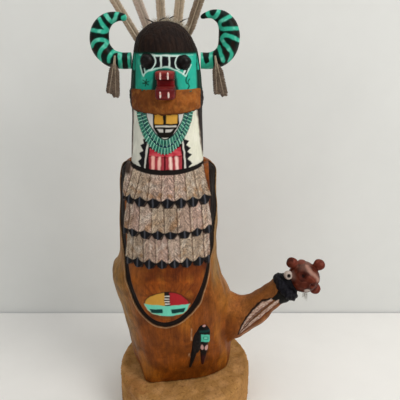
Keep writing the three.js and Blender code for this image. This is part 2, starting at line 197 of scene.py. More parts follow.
def grid_normals(grid, closed=False):
    across = (np.roll(grid, -1, 1) - np.roll(grid, 1, 1)) if closed else np.gradient(grid, axis=1)
    return unit(np.cross(across, np.gradient(grid, axis=0)))


def lofted(grid):
    """A closed skin over rings of points, each run anticlockwise as seen from the last ring's side."""
    rings, count = grid.shape[:2]
    points = np.concatenate([grid.reshape(-1, 3), [grid[0].mean(0)], [grid[-1].mean(0)]])
    i = np.arange(count)
    j, first, top = (i + 1) % count, rings * count, (rings - 1) * count
    caps = [(first, b, a) for a, b in zip(i, j)] + [(first + 1, top + a, top + b) for a, b in zip(i, j)]
    return points, grid_faces(rings, count, True).tolist() + [tuple(map(int, c)) for c in caps]


def tube(path, radius, sides=12, flat=1.0):
    """A closed tube along a path that lies near the doll's own plane."""
    path = np.asarray(path, float)
    ahead = unit(np.gradient(path, axis=0))
    side = unit(np.cross([0, -1, 0], ahead))
    rise = np.cross(ahead, side)
    angle = np.linspace(0, 2 * math.pi, sides, endpoint=False)
    radius = np.broadcast_to(radius, (len(path),))[:, None, None]
    ring = np.cos(angle)[:, None] * side[:, None] + flat * np.sin(angle)[:, None] * rise[:, None]
    return lofted(path[:, None] + radius * ring)


def pebble(centre, half, square=1.0, turn=0.0, rings=20, sides=28):
    """A rounded lump: an egg where square is 1, and a soft-edged block where it is small."""
    up = np.linspace(-math.pi / 2 + 0.02, math.pi / 2 - 0.02, rings)[:, None]
    angle = np.linspace(0, 2 * math.pi, sides, endpoint=False)[None]
    bulge = lambda v: np.sign(v) * np.abs(v) ** square
    x = half[0] * bulge(np.cos(up)) * bulge(np.cos(angle))
    y = half[1] * bulge(np.cos(up)) * bulge(np.sin(angle))
    z = half[2] * bulge(np.sin(up)) * np.ones_like(angle)
    y, z = y * math.cos(turn) - z * math.sin(turn), y * math.sin(turn) + z * math.cos(turn)
    return lofted(np.stack([x, y, z], -1) + np.asarray(centre, float))


SLIVER_POINTS = 7


def slivers(foot, middle, tip, width, flat=0.5):
    """Closed three-sided slivers from foot through middle to tip: barbs, down and wisps."""
    ahead = tip - foot
    side = unit(np.cross(ahead, [0, -1, 0]))
    lift = unit(np.cross(side, ahead))
    width = np.broadcast_to(width, (len(foot),))[:, None]
    corners = [side * width / 2, -side * width / 2, lift * width * flat]
    points = np.stack([foot + c for c in corners] + [middle + 0.8 * c for c in corners] + [tip], 1)
    one = np.array([(0, 2, 1), (0, 1, 4), (0, 4, 3), (1, 2, 5), (1, 5, 4), (2, 0, 3), (2, 3, 5),
                    (3, 4, 6), (4, 5, 6), (5, 3, 6)])
    faces = (one[None] + SLIVER_POINTS * np.arange(len(foot))[:, None, None]).reshape(-1, 3)
    return points.reshape(-1, 3), faces.tolist()


def joined(shapes):
    points, faces, count = [], [], 0
    for some, theirs in shapes:
        points.append(some)
        faces += [tuple(i + count for i in face) for face in theirs]
        count += len(some)
    return np.concatenate(points), faces


def fan_over_edges(faces, deep):
    """Triangles from a shell's open edges to one point deep inside, which close it."""
    ways = {(f[k - 1], f[k]) for f in faces for k in range(len(f))}
    return [(b, a, deep) for a, b in ways if (b, a) not in ways]


def without_strays(points, faces):
    """The shape without points that no face uses, and which points it keeps."""
    used = np.unique([i for f in faces for i in f])
    place = dict(zip(used.tolist(), range(len(used))))
    return (points[used], [tuple(place[i] for i in f) for f in faces]), used


def edges_of(faces):
    pairs = np.concatenate([np.stack([f, np.roll(f, -1, 1)], -1).reshape(-1, 2) for f in by_size(faces)])
    return np.unique(np.sort(pairs, 1), axis=0)


def by_size(faces):
    """The faces as one array of triangles and one of quads."""
    return [np.array([f for f in faces if len(f) == n]) for n in (3, 4) if any(len(f) == n for f in faces)]


def normals_of(points, faces):
    total = np.zeros_like(points)
    for some in by_size(faces):
        face = np.cross(points[some[:, 2]] - points[some[:, 0]], points[some[:, -1]] - points[some[:, 1]])
        for corner in some.T:
            for axis in range(3):
                total[:, axis] += np.bincount(corner, face[:, axis], len(points))
    return unit(total)


def pushed(points, normal, far):
    return points + normal * far[:, None]


def relaxed(points, faces, turns, share=1.0):
    """Eases the points towards their neighbours, then back out a little, so that the shape isn't shrunk."""
    a, b = edges_of(faces).T
    count = np.bincount(np.concatenate([a, b]), minlength=len(points))[:, None]
    for step in [0.5, -0.52] * turns:
        near = np.stack([np.bincount(a, points[b, k], len(points)) + np.bincount(b, points[a, k], len(points))
                         for k in range(3)], 1) / np.maximum(count, 1)
        points = points + step * np.reshape(share, (-1, 1)) * (near - points)
    return points


def carved_as_one(shapes, voxel, turns):
    """Joins closed shapes into one skin, as the knife leaves them: no seams, and corners eased."""
    points, faces = joined(shapes)
    mesh = bpy.data.meshes.new("blank")
    mesh.from_pydata((points * MM).tolist(), [], faces)
    blank = bpy.data.objects.new("blank", mesh)
    scene.collection.objects.link(blank)
    remesh = blank.modifiers.new("remesh", "REMESH")
    remesh.mode, remesh.voxel_size = "VOXEL", voxel * MM
    fine = blank.evaluated_get(bpy.context.evaluated_depsgraph_get()).to_mesh()
    points = np.empty(len(fine.vertices) * 3, np.float32)
    fine.vertices.foreach_get("co", points)
    corners = np.empty(len(fine.loops), np.int32)
    fine.loops.foreach_get("vertex_index", corners)
    faces = corners.reshape(-1, 4)
    bpy.data.objects.remove(blank)
    bpy.data.meshes.remove(mesh)
    points = points.reshape(-1, 3).astype(float) / MM
    faces = faces.tolist()
    return relaxed(points, faces, turns), faces


# ---------------------------------------------------------------- marking out and painting, in x and z

def ripple(points, size, seed, waves=9):
    """Gentle unevenness of about one, in bumps of that size."""
    draw = np.random.default_rng(seed)
    way = draw.normal(size=(waves, points.shape[1]))
    way *= 2 * math.pi / size * draw.uniform(0.5, 1.6, (waves, 1)) / np.linalg.norm(way, axis=1,
                                                                                    keepdims=True)
    return np.sin(points @ way.T + draw.uniform(0, 2 * math.pi, waves)).sum(1) / math.sqrt(waves / 2)


def smooth(value, low, high):
    t = np.clip((value - low) / (high - low), 0, 1)
    return t * t * (3 - 2 * t)


def bell(far, wide):
    return np.exp(-(far / wide) ** 2)


def soft_edge(over, soft):
    """From 0 to 1 as a point comes over an edge."""
    return np.clip(0.5 + over / soft, 0, 1)


def from_spot(points, spot):
    return np.linalg.norm(points - spot, axis=1)


def drawn(points, per=6, closed=False):
    """A flowing line through a few marked points."""
    p = np.asarray(points, float)
    ends = (p[-1:], p[:2]) if closed else (2 * p[:1] - p[1:2], 2 * p[-1:] - p[-2:-1])
    p = np.concatenate([ends[0], p, ends[1]])
    t = np.linspace(0, 1, per, endpoint=False)[:, None]
    bits = [0.5 * (2 * b + (c - a) * t + (2 * a - 5 * b + 4 * c - d) * t**2 + (3 * b - a - 3 * c + d) * t**3)
            for a, b, c, d in zip(p[:-3], p[1:-2], p[2:-1], p[3:])]
    return np.concatenate(bits if closed else bits + [p[-2:-1]])


def to_line(points, line, closed=False, along=None):
    """Distance from each point to a drawn line and, if asked for, the nearest of the values along it."""
    line = np.asarray(line, float)
    pairs = list(zip(line, np.roll(line, -1, 0)) if closed else zip(line[:-1], line[1:]))
    best, value = np.full(len(points), 1e9), np.zeros(len(points))
    for k, (a, b) in enumerate(pairs):
        t = np.clip((points - a) @ (b - a) / max((b - a) @ (b - a), 1e-9), 0, 1)
        far = np.linalg.norm(points - a - t[:, None] * (b - a), axis=1)
        if along is not None:
            value = np.where(far < best, along[k] + t * (along[k + 1] - along[k]), value)
        best = np.minimum(best, far)
    return best if along is None else (best, value)


def to_shape(points, outline):
    """Distance from each point to a closed outline, below zero inside it."""
    outline = np.asarray(outline, float)
    inside = np.zeros(len(points), bool)
    for (ax, az), (bx, bz) in zip(outline, np.roll(outline, -1, 0)):
        if az != bz:
            crosses = (az > points[:, 1]) != (bz > points[:, 1])
            inside ^= crosses & (points[:, 0] < (bx - ax) * (points[:, 1] - az) / (bz - az) + ax)
    return np.where(inside, -1, 1) * to_line(points, outline, True)


def block(low_x, low_z, high_x, high_z):
    return [(low_x, low_z), (high_x, low_z), (high_x, high_z), (low_x, high_z)]


class Coat:
    """The colours on a piece's points: red, green, blue, and how far paint covers the wood."""

    def __init__(self, points, ground, painted=0.0):
        # where each point lies, less the waver of a painted edge
        self.at = points[:, [0, 2]] + 0.12 * np.stack([ripple(points, 5, 1), ripple(points, 4, 2)], 1)
        self.front = points[:, 1] < 0
        self.rgba = np.empty((len(points), 4))
        self.rgba[:, :3] = srgb(ground) if isinstance(ground, str) else ground
        self.rgba[:, 3] = painted
        self.where = 1  # the points that fills and strokes reach

    def lay(self, colour, cover, painted=1.0):
        """Lays a colour over the points by its cover, from 0 to 1."""
        cover = np.broadcast_to(np.asarray(cover, float), (len(self.rgba),))[:, None]
        colour = srgb(colour) if isinstance(colour, str) else colour
        under = np.column_stack([np.broadcast_to(colour, (len(self.rgba), 3)),
                                 np.full(len(self.rgba), painted)])
        self.rgba += cover * (under - self.rgba)

    def fill(self, colour, outline, soft=0.4, share=1.0, painted=1.0):
        self.lay(colour, soft_edge(-to_shape(self.at, outline), soft) * share * self.where, painted)

    def stroke(self, colour, line, width, soft=0.4, share=1.0, painted=1.0, closed=False):
        cover = soft_edge(width / 2 - to_line(self.at, line, closed), soft)
        self.lay(colour, cover * share * self.where, painted)


def mixed(a, b, share):
    share = np.reshape(share, (-1, 1))
    a, b = (srgb(c) if isinstance(c, str) else c for c in (a, b))
    return a + (b - a) * share


def mottled(points, a, b, size, seed, low, high, most=1.0):
    """One colour that drifts into another in soft patches of that size."""
    return mixed(a, b, most * smooth(ripple(points, size, seed), low, high))


# ---------------------------------------------------------------- finishes

DULL = 0.1  # specular level: earth paint, stain and dry wood reflect far less than varnish

def output_of(node):
    return node.outputs[2 if getattr(node, "data_type", "") == "RGBA" else 0]


def add(tree, kind, links=None, **settings):
    """Adds a node with its settings and links. A link's value is a node, a socket or a plain value."""
    node = tree.nodes.new("ShaderNode" + kind)
    for key, value in settings.items():
        setattr(node, key, value)
    for key, value in (links or {}).items():
        if isinstance(value, bpy.types.Node):
            value = output_of(value)
        if isinstance(value, bpy.types.NodeSocket):
            tree.links.new(value, node.inputs[key])
        else:
            node.inputs[key].default_value = value
    return node


def new_finish(name, roughness, **sockets):
    """A material with its shader, the coat that is laid on the points, and places in millimetres."""
    material = bpy.data.materials.new(name)
    material.use_nodes = True
    tree = material.node_tree
    shader = tree.nodes["Principled BSDF"]
    for key, value in {"Roughness": roughness, "Specular IOR Level": DULL, **sockets}.items():
        shader.inputs[key.replace("_", " ")].default_value = value
    coat = add(tree, "Attribute", attribute_name="coat")
    place = add(tree, "VectorMath", {0: add(tree, "TexCoord").outputs["Object"], 1: (1000, 1000, 1000)},
                operation="MULTIPLY")
    return material, tree, shader, coat, place


def finished(material, tree, shader, colour, height=None, depth=0.0):
    """Gives the shader its colour and its relief. Depth is the noise's full range, in millimetres."""
    tree.links.new(output_of(colour), shader.inputs["Base Color"])
    if height is not None:
        bump = add(tree, "Bump", {"Height": height, "Distance": depth * MM, "Strength": 1.0})
        tree.links.new(bump.outputs[0], shader.inputs["Normal"])
    return material


def streaks(tree, place, across, along, detail=4):
    """Noise drawn out along the grain: the streak's width and length in millimetres."""
    drawn_out = add(tree, "VectorMath", {0: place, 1: (1 / across, 1 / across, 1 / along)},
                    operation="MULTIPLY")
    return add(tree, "TexNoise", {"Vector": drawn_out, "Scale": 1, "Detail": detail, "Roughness": 0.6})


def times_grey(tree, colour, grey, share=1.0):
    tone = add(tree, "CombineColor", {0: grey, 1: grey, 2: grey})
    return add(tree, "Mix", {0: share, 6: colour, 7: tone}, data_type="RGBA", blend_type="MULTIPLY")


def shaded(tree, colour, by, dark, light, share=1.0, low=0.3, high=0.7):
    """The colour times a grey that runs from dark to light as a noise runs from low to high."""
    grey = add(tree, "MapRange", {"Value": by, "From Min": low, "From Max": high,
                                  "To Min": dark, "To Max": light})
    return times_grey(tree, colour, grey, share)


def swirled_root(tree, shader, place, coat):
    """Soft swirling figure, long grain and short flecks on bare root, and a little of it through the paint.
    Bare root has a satin oil sheen, and the thin earth paint on it is duller."""
    swirl = add(tree, "TexNoise", {"Vector": place, "Scale": 1 / 17, "Detail": 5, "Roughness": 0.66,
                                   "Distortion": 1.3})
    grain, fleck = streaks(tree, place, 1.7, 17), streaks(tree, place, 0.7, 3.4, 3)
    bare = add(tree, "Math", {0: 1.0, 1: coat.outputs["Alpha"]}, operation="SUBTRACT")
    share = add(tree, "Math", {0: bare, 1: 0.86, 2: 0.14}, operation="MULTIPLY_ADD")
    colour = coat.outputs["Color"]
    for noise, dark, light in ((swirl, 0.62, 1.45), (grain, 0.74, 1.24), (fleck, 0.84, 1.16)):
        colour = shaded(tree, colour, noise, dark, light, share)
    dull = add(tree, "Math", {0: coat.outputs["Alpha"], 1: 0.14, 2: 0.36}, operation="MULTIPLY_ADD")
    dull = add(tree, "Math", {0: grain, 1: 0.2, 2: dull}, operation="MULTIPLY_ADD")
    tree.links.new(dull.outputs[0], shader.inputs["Roughness"])
    return colour, swirl, grain, fleck


def oiled_root():
    """Cottonwood root, knife-carved, sanded, stained brown and oiled: a soft swirling figure under a satin
    sheen. Where the root is painted, thin matt earth paint lets a little of the figure through."""
    material, tree, shader, coat, place = new_finish("oiled_cottonwood_root", 0.45)
    colour, swirl, grain, fleck = swirled_root(tree, shader, place, coat)
    height = add(tree, "Math", {0: grain, 1: fleck}, operation="ADD")
    height = add(tree, "Math", {0: swirl, 1: 1.6, 2: height}, operation="MULTIPLY_ADD")
    return finished(material, tree, shader, colour, height, 0.22)


def barbed_root():
    """The carved feather rows: matt grey-brown paint over fine knife cuts that slope from each quill, with
    painted shade in the cuts and painted light on the ridges. Round them is the oiled root."""
    material, tree, shader, coat, place = new_finish("carved_feather_paint", 0.5)
    parts = add(tree, "SeparateXYZ", {0: add(tree, "Attribute", attribute_name="work").outputs["Vector"]})
    run, carved, across = parts.outputs
    colour, _, grain, _ = swirled_root(tree, shader, place, coat)
    barbs = add(tree, "CombineXYZ", {0: add(tree, "Math", {0: run, 1: 1.15}, operation="MULTIPLY"),
                                     1: add(tree, "Math", {0: across, 1: 0.3}, operation="MULTIPLY")})
    cut_and_shade = add(tree, "TexNoise", {"Vector": barbs, "Scale": 1, "Detail": 2, "Roughness": 0.6,
                                 "Distortion": 0.5})
    pepper = add(tree, "TexNoise", {"Vector": place, "Scale": 1 / 1.15, "Detail": 2, "Roughness": 0.6})
    # painted shade in the knife cuts and painted light on their ridges, from the noise that also gives their
    # relief
    colour = shaded(tree, colour, cut_and_shade, 0.52, 1.42, carved, 0.36, 0.64)
    colour = shaded(tree, colour, pepper, 0.62, 1.34, carved, 0.36, 0.64)
    cuts = add(tree, "Math", {0: cut_and_shade, 1: carved}, operation="MULTIPLY")
    height = add(tree, "Math", {0: cuts, 1: 2.0, 2: grain}, operation="MULTIPLY_ADD")
    return finished(material, tree, shader, colour, height, 0.3)


def brushed_paint(name, roughness, **sockets):
    """Artist's acrylic over smooth wood: even colour with faint brush marks and a low sheen."""
    material, tree, shader, coat, place = new_finish(name, roughness, **sockets)
    marks = streaks(tree, place, 1.2, 5, 3)
    drift = add(tree, "TexNoise", {"Vector": place, "Scale": 1 / 7, "Detail": 3, "Roughness": 0.6})
    colour = shaded(tree, coat.outputs["Color"], marks, 0.92, 1.05)
    colour = shaded(tree, colour, drift, 0.95, 1.05)
    return finished(material, tree, shader, colour, marks, 0.08)


def burnt_hair():
    """Wood burnt and stained near black, combed with a fine gouge: matt, with brown showing on the ridges."""
    material, tree, shader, coat, place = new_finish("burnt_wood_hair", 0.62, Specular_IOR_Level=0.12)
    comb = streaks(tree, place, 0.55, 26, 2)
    colour = shaded(tree, coat.outputs["Color"], comb, 0.7, 1.35)
    return finished(material, tree, shader, colour, comb, 0.3)


def fur_ruff():
    """A ruff carved and stippled to look like fox fur, stained orange-brown: soft, mottled and quite matt."""
    material, tree, shader, coat, place = new_finish("stippled_fur_stain", 0.66, Specular_IOR_Level=0.15)
    nap = streaks(tree, place, 0.8, 2.4, 3)
    tuft = add(tree, "TexNoise", {"Vector": place, "Scale": 1 / 4, "Detail": 3, "Roughness": 0.6})
    colour = shaded(tree, coat.outputs["Color"], nap, 0.82, 1.18)
    colour = shaded(tree, colour, tuft, 0.85, 1.15)
    return finished(material, tree, shader, colour, nap, 0.2)


def raw_root():
    """The slab: sawn root left raw, dry and matt, with cork-like pits and short fibres."""
    material, tree, shader, coat, place = new_finish("raw_cottonwood_root", 0.9, Specular_IOR_Level=0.15)
    grit, pits, drift = (
        add(tree, "TexNoise", {"Vector": place, "Scale": 1 / size, "Detail": detail, "Roughness": 0.6})
        for size, detail in ((1.5, 4), (3.4, 2), (14, 3)))
    pit = add(tree, "MapRange", {"Value": pits, "From Min": 0.3, "From Max": 0.4, "To Min": 0.7,
                                 "To Max": 1.0})
    colour = shaded(tree, coat.outputs["Color"], grit, 0.84, 1.14)
    colour = shaded(tree, colour, drift, 0.88, 1.1)
    height = add(tree, "Math", {0: pit, 1: grit}, operation="ADD")
    return finished(material, tree, shader, times_grey(tree, colour, pit), height, 0.4)


def dry_feather(name, sheen):
    """Real feather: dry, soft barbs with a faint silky sheen."""
    material, tree, shader, coat, place = new_finish(name, 0.72, Sheen_Weight=sheen, Sheen_Roughness=0.5)
    mottle, fluff = (add(tree, "TexNoise", {"Vector": place, "Scale": 1 / size, "Detail": 3,
                                            "Roughness": 0.6})
                     for size in (1.4, 0.6))
    colour = shaded(tree, coat.outputs["Color"], mottle, 0.85, 1.15)
    return finished(material, tree, shader, colour, fluff, 0.1)


def piece(name, shape, material, coat, node="carved_root", work=None):
    """Makes the mesh, lays its coat on it, hangs it on the root and hides the CAD part that it stands for."""
    points, faces = shape
    mesh = bpy.data.meshes.new(name)
    mesh.from_pydata(((points + [0, 0 if node == "base_slab" else DOLL_Y, 0]) * MM).tolist(), [], faces)
    rgba = mesh.color_attributes.new("coat", "FLOAT_COLOR", "POINT")
    rgba.data.foreach_set("color", np.asarray(coat.rgba if isinstance(coat, Coat) else coat,
                                              np.float32).ravel())
    if work is not None:
        mesh.attributes.new("work", "FLOAT_VECTOR", "POINT").data.foreach_set(
            "vector", np.asarray(work, np.float32).ravel())
    mesh.shade_smooth()
    mesh.materials.append(material)
    made = bpy.data.objects.new(name, mesh)
    scene.collection.objects.link(made)
    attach(made, "root")
    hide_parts(node)


# ---------------------------------------------------------------- the carved root

# The inner edge of the gouged line round the feather panel, in x and z, with the line's width there;
# then its run over each shoulder, in x, y, z and width
GOUGE = [(-46.4, 256.5, 13), (-46.9, 245, 15.5), (-47.1, 228, 16.5), (-47.2, 210, 14.5), (-47.5, 192, 9.3),
         (-46.5, 174, 7.6), (-45.4, 165, 7.1), (-43.5, 157, 6.6), (-40.6, 147, 6.8), (-37.6, 137.5, 6.3),
         (-32.2, 128.2, 5.8), (-24.4, 121.6, 5.7), (-15, 119.2, 5.7), (-5, 122.4, 5.8), (4.1, 130.6, 5.9),
         (10, 137.8, 5.8), (14.1, 145, 6),
         (18.1, 153.8, 5.9), (20.8, 163.3, 6.3), (22.7, 172.5, 7), (23.9, 181.6, 8), (24.7, 190.7, 9.5),
         (25.1, 200, 11.2), (25.3, 212, 12.5), (25.4, 227, 13.5), (25, 242, 14.5), (24.1, 252.9, 14.5)]
OVER_LEFT = [(-36, 2, 261, 8), (-41.5, -4, 260.8, 10), (-45.5, -10.5, 259.4, 12)]
OVER_RIGHT = [(23.8, -11.5, 258.9, 12), (22.6, -5, 260.8, 9), (18, 0, 261, 6)]
GOUGE_DEEP = 1.3


def from_gouge(points):
    """Distance from the gouged line's middle, below zero inside the panel, and the line's half width."""
    flat = drawn(GOUGE, 3)
    on_front = np.column_stack([flat[:, 0], front_of(BODY, flat[:, 0], flat[:, 1]), flat[:, 1:]])
    line = np.concatenate([OVER_LEFT, on_front, OVER_RIGHT])
    panel = np.concatenate([flat[:, :2], [(24, 275), (-46.5, 275)]])
    inside = (to_shape(points[:, [0, 2]], panel) < 0) & (points[:, 1] < 1.5)
    far, width = to_line(points, line[:, :3], along=line[:, 3])
    return np.where(inside, -far, far) - width / 2, width / 2


def knots(points):
    """The root's own unevenness, in millimetres along the surface's normal."""
    return 0.42 * ripple(points, 34, 11) + 0.22 * ripple(points * [1, 1, 0.35], 11, 12)


def root_colour(points):
    """Stained cottonwood: orange-brown in front, olive-tan along the flanks, darker towards the foot."""
    x, z = points[:, 0], points[:, 2]
    colour = mixed("#7f4213", "#70380a", smooth(z, 110, 50))
    colour = mottled(points * [1, 1, 0.5], colour, "#a3651f", 26, 21, 0.1, 1.7, 0.5)
    colour = mottled(points * [1, 1, 0.4], colour, "#5f300d", 15, 22, 0.4, 2.0, 0.6)
    left = smooth(x + 0.09 * (z - 100), -34, -56) * smooth(z, 50, 100)
    right = smooth(x, 24, 31) * smooth(z, 128, 160)
    colour = mixed(colour, "#8c6a38", 0.85 * np.maximum(left, right))
    crook = np.exp(-((x - 43) / 11) ** 2 - ((z - 128) / 16) ** 2)
    colour = mixed(colour, "#a87338", 0.6 * crook)
    return mixed(colour, "#805129", 0.75 * smooth(x, 46, 64))


def branch_rings(count, sides):
    """The side branch's skin, from inside the trunk to its cut end."""
    t = np.linspace(0, 1, count)
    line = drawn(BRANCH, 24)
    spot = np.linspace(0, len(line) - 1, count)
    top_x, top_z, low_x, low_z, deep, y = (np.interp(spot, np.arange(len(line)),
                                                     line[:, k]) for k in range(6))
    angle = np.linspace(0, 2 * math.pi, sides, endpoint=False)
    out = np.empty((len(t), sides, 3))
    for k in range(count):
        rise = np.sin(angle) / 2 + 0.5
        out[k] = np.stack([low_x[k] + (top_x[k] - low_x[k]) * rise, y[k] + deep[k] / 2 * np.cos(angle),
                           low_z[k] + (top_z[k] - low_z[k]) * rise], 1)
    return out


def trunk(finish):
    """Foot, trunk and side branch, carved as one."""
    ring = np.linspace(0, 2 * math.pi, 140, endpoint=False)
    heights = np.append(np.arange(BODY_LOW, BODY_TOP - 0.5, 2.5), BODY_TOP)
    body = lofted(np.stack([section(BODY, np.full(ring.shape, z), ring) for z in heights]))
    shape = carved_as_one([body, lofted(branch_rings(44, 48))], 1.15, 5)
    points, faces = finer(*shape, lambda p: (p[:, 0] > 51) & (p[:, 1] < 4) & (p[:, 2] < 150))
    crotch = bell(points[:, 0] - 44, 13) * smooth(points[:, 2], 58, 75) * smooth(points[:, 2], 160, 140)
    points = relaxed(points, faces, 30, crotch)
    normal = normals_of(points, faces)
    off, half = from_gouge(points)
    near_foot = smooth(points[:, 2], 43.5, 50)
    points = pushed(points, normal, knots(points) * near_foot)
    # the foot is cut back in front, which leaves a small toe at the left corner
    x, y, low_down = points[:, 0].copy(), points[:, 1].copy(), smooth(points[:, 2], 72, 43)
    points[:, 1] += 4.6 * smooth(x, -36, -20) * low_down * smooth(y, 0, -16)
    points[:, 0] += 3.4 * smooth(x, -36, -46) * low_down ** 2
    sunk = 2.6 * smooth(off - half, 1.5, -0.5) * (points[:, 1] < 3) * (points[:, 2] > 100)
    points = points - normal * sunk[:, None]
    points[:, 2] = np.maximum(points[:, 2], BODY_LOW)
    coat = Coat(points, root_colour(points))
    branch_paint(coat, points)
    coat.where = 1
    # painted highlights: two pale lines on the root along the small figure's carved left edge
    for line in ([(9.2, 109.7), (8.7, 96.6)], [(6.2, 80.1), (7.1, 75.8)]):
        coat.stroke("#c9a27a", line, 0.9, 0.8, share=0.8 * coat.front, painted=0.2)
    piece("carved_trunk", (points, faces), finish, coat)


def finer(points, faces, where):
    """Halves the faces of one region, for paint that needs closer points."""
    mesh = bpy.data.meshes.new("blank")
    mesh.from_pydata(points.tolist(), [], faces)
    work = bmesh.new()
    work.from_mesh(mesh)
    chosen = where(points)
    edges = [e for e in work.edges if all(chosen[v.index] for v in e.verts)]
    bmesh.ops.subdivide_edges(work, edges=edges, cuts=1, use_grid_fill=True)
    work.verts.index_update()
    out = np.array([v.co for v in work.verts]), [tuple(v.index for v in f.verts) for f in work.faces]
    work.free()
    bpy.data.meshes.remove(mesh)
    return split_to_quads(*out)


def split_to_quads(points, faces):
    """Faces with more than four corners become fans of triangles."""
    simple = [f for f in faces if len(f) <= 4]
    for f in faces:
        if len(f) > 4:
            simple += [(f[0], f[k], f[k + 1]) for k in range(1, len(f) - 1)]
    return points, simple


UPPER_PLUME = [(54.4, 86), (56.6, 97), (62.2, 107.8), (69.2, 117), (76.4, 123.8), (83, 127.6), (86, 126.6),
               (80.4, 120.4), (70.6, 111.2), (62.6, 100.6)]
LOWER_PLUME = [(55.4, 86.2), (63.4, 99.8), (72.2, 110), (81.6, 118.9), (88, 125.4), (91.8, 127.6),
               (90.4, 122),
               (84.6, 117.2), (75, 108.4), (65, 97.8)]


def branch_paint(coat, points):
    """Two long pale feathers painted along the branch, thinly outlined, and black about the kerchief."""
    coat.where = (points[:, 1] < 3) & (points[:, 0] > 50)
    along = to_line(coat.at, drawn([(54, 84), (66, 104), (80, 118), (93, 130)]))
    hatch = np.sin((coat.at @ [0.35, 1.0]) * 2 * math.pi / 1.9 + 1.2 * along)
    for plume in (UPPER_PLUME, LOWER_PLUME):
        shape = drawn(plume, closed=True)
        coat.stroke("#3a2216", shape, 1.3, 0.8, closed=True)
        coat.fill(mottled(points, "#a98774", "#cdb6a6", 3, 31, -1, 1), shape)
        inside = soft_edge(-to_shape(coat.at, shape), 0.4) * coat.where
        coat.lay("#7a5446", 0.6 * inside * smooth(hatch, 0.1, 0.8))
    coat.stroke("#1f130e", drawn(UPPER_PLUME[:6]), 1.5, 0.7)
    coat.stroke("#5c3324", drawn([(56, 88), (61, 99.8), (69.4, 110.8), (79, 119.8), (85.6, 125.4)]), 0.9)
    coat.stroke("#6b3418", drawn([(57, 86), (66.4, 97.6), (76.4, 108), (86, 116.8), (92, 121.4)]), 1.6, 1.2)
    coat.stroke("#a8714a", drawn([(58, 84), (70, 95.4), (83, 107), (96, 118.6)]), 1.6, 1.2, share=0.7,
                painted=0.4)
    coat.fill("#15130f", [(84.4, 127.4), (88.8, 132.5), (91.6, 138), (86, 148.5), (94, 154), (106, 142),
                          (106, 126),
                          (98, 119.6), (92.6, 121), (91.6, 127.4), (88, 126)])
    coat.lay("#0e0d12", smooth((coat.at - (94.5, 136)) @ np.array([0.906, 0.42]), -0.4, 0.6))


PLUME_ROWS = [  # from the lowest row up; gaps between feathers run from the tips to the row's top
    {"top": 208.5, "tip_x": [-44.8, -36, -26, -15.5, -5.2, 4.9, 15.2, 22.6],
     "low": [175.9, 175.7, 176, 177, 177.2, 176.9, 175.8, 174.9],
     "peak": [183, 185.6, 185.8, 185.8, 186.1, 186.2, 184.9, 183],
     "gaps": [-47.6, -40.5, -31, -20.8, -10.3, -0.2, 10, 19.5, 25.6],
     "top_gaps": [-45.4, -40, -31.3, -21, -10.5, -0.4, 9.6, 18.8, 24.2]},
    {"top": 235.5, "tip_x": [-46.6, -39.3, -28.8, -18.2, -7.9, 3.4, 13.3, 22.6],
     "low": [203.4, 203.5, 203.3, 203.4, 203.8, 203.9, 204.3, 203.8],
     "peak": [209.5, 210.7, 211.2, 211.8, 210.9, 211.3, 212.2, 211.8],
     "gaps": [-49.4, -43.2, -34, -23.5, -13, -2.2, 8.4, 18.2, 26.4],
     "top_gaps": [-44.2, -41.2, -33, -23, -13, -2.4, 7.8, 17.3, 23.4]},
    {"top": 261.5, "tip_x": [-46.8, -41.2, -32.3, -21.6, -9.9, 1.0, 10.2, 19.4],
     "low": [232.4, 231.4, 230.6, 230.3, 230.4, 230.5, 230.4, 230.8],
     "peak": [239.5, 240, 239.3, 239, 238.7, 239.1, 239, 239.8],
     "gaps": [-49.6, -44.6, -37, -26.2, -15, -4, 5.4, 15, 24.8],
     "top_gaps": [-44.8, -38.5, -30.9, -23.3, -14.3, -5, 3.7, 10.4, 19.2]}]
PLUME_LIFT = 1.7
FEATHERS = 8  # in each row
TAUPES = ["#ab9884", "#a58d7e", "#b39d8e", "#a08c79", "#b19689"]


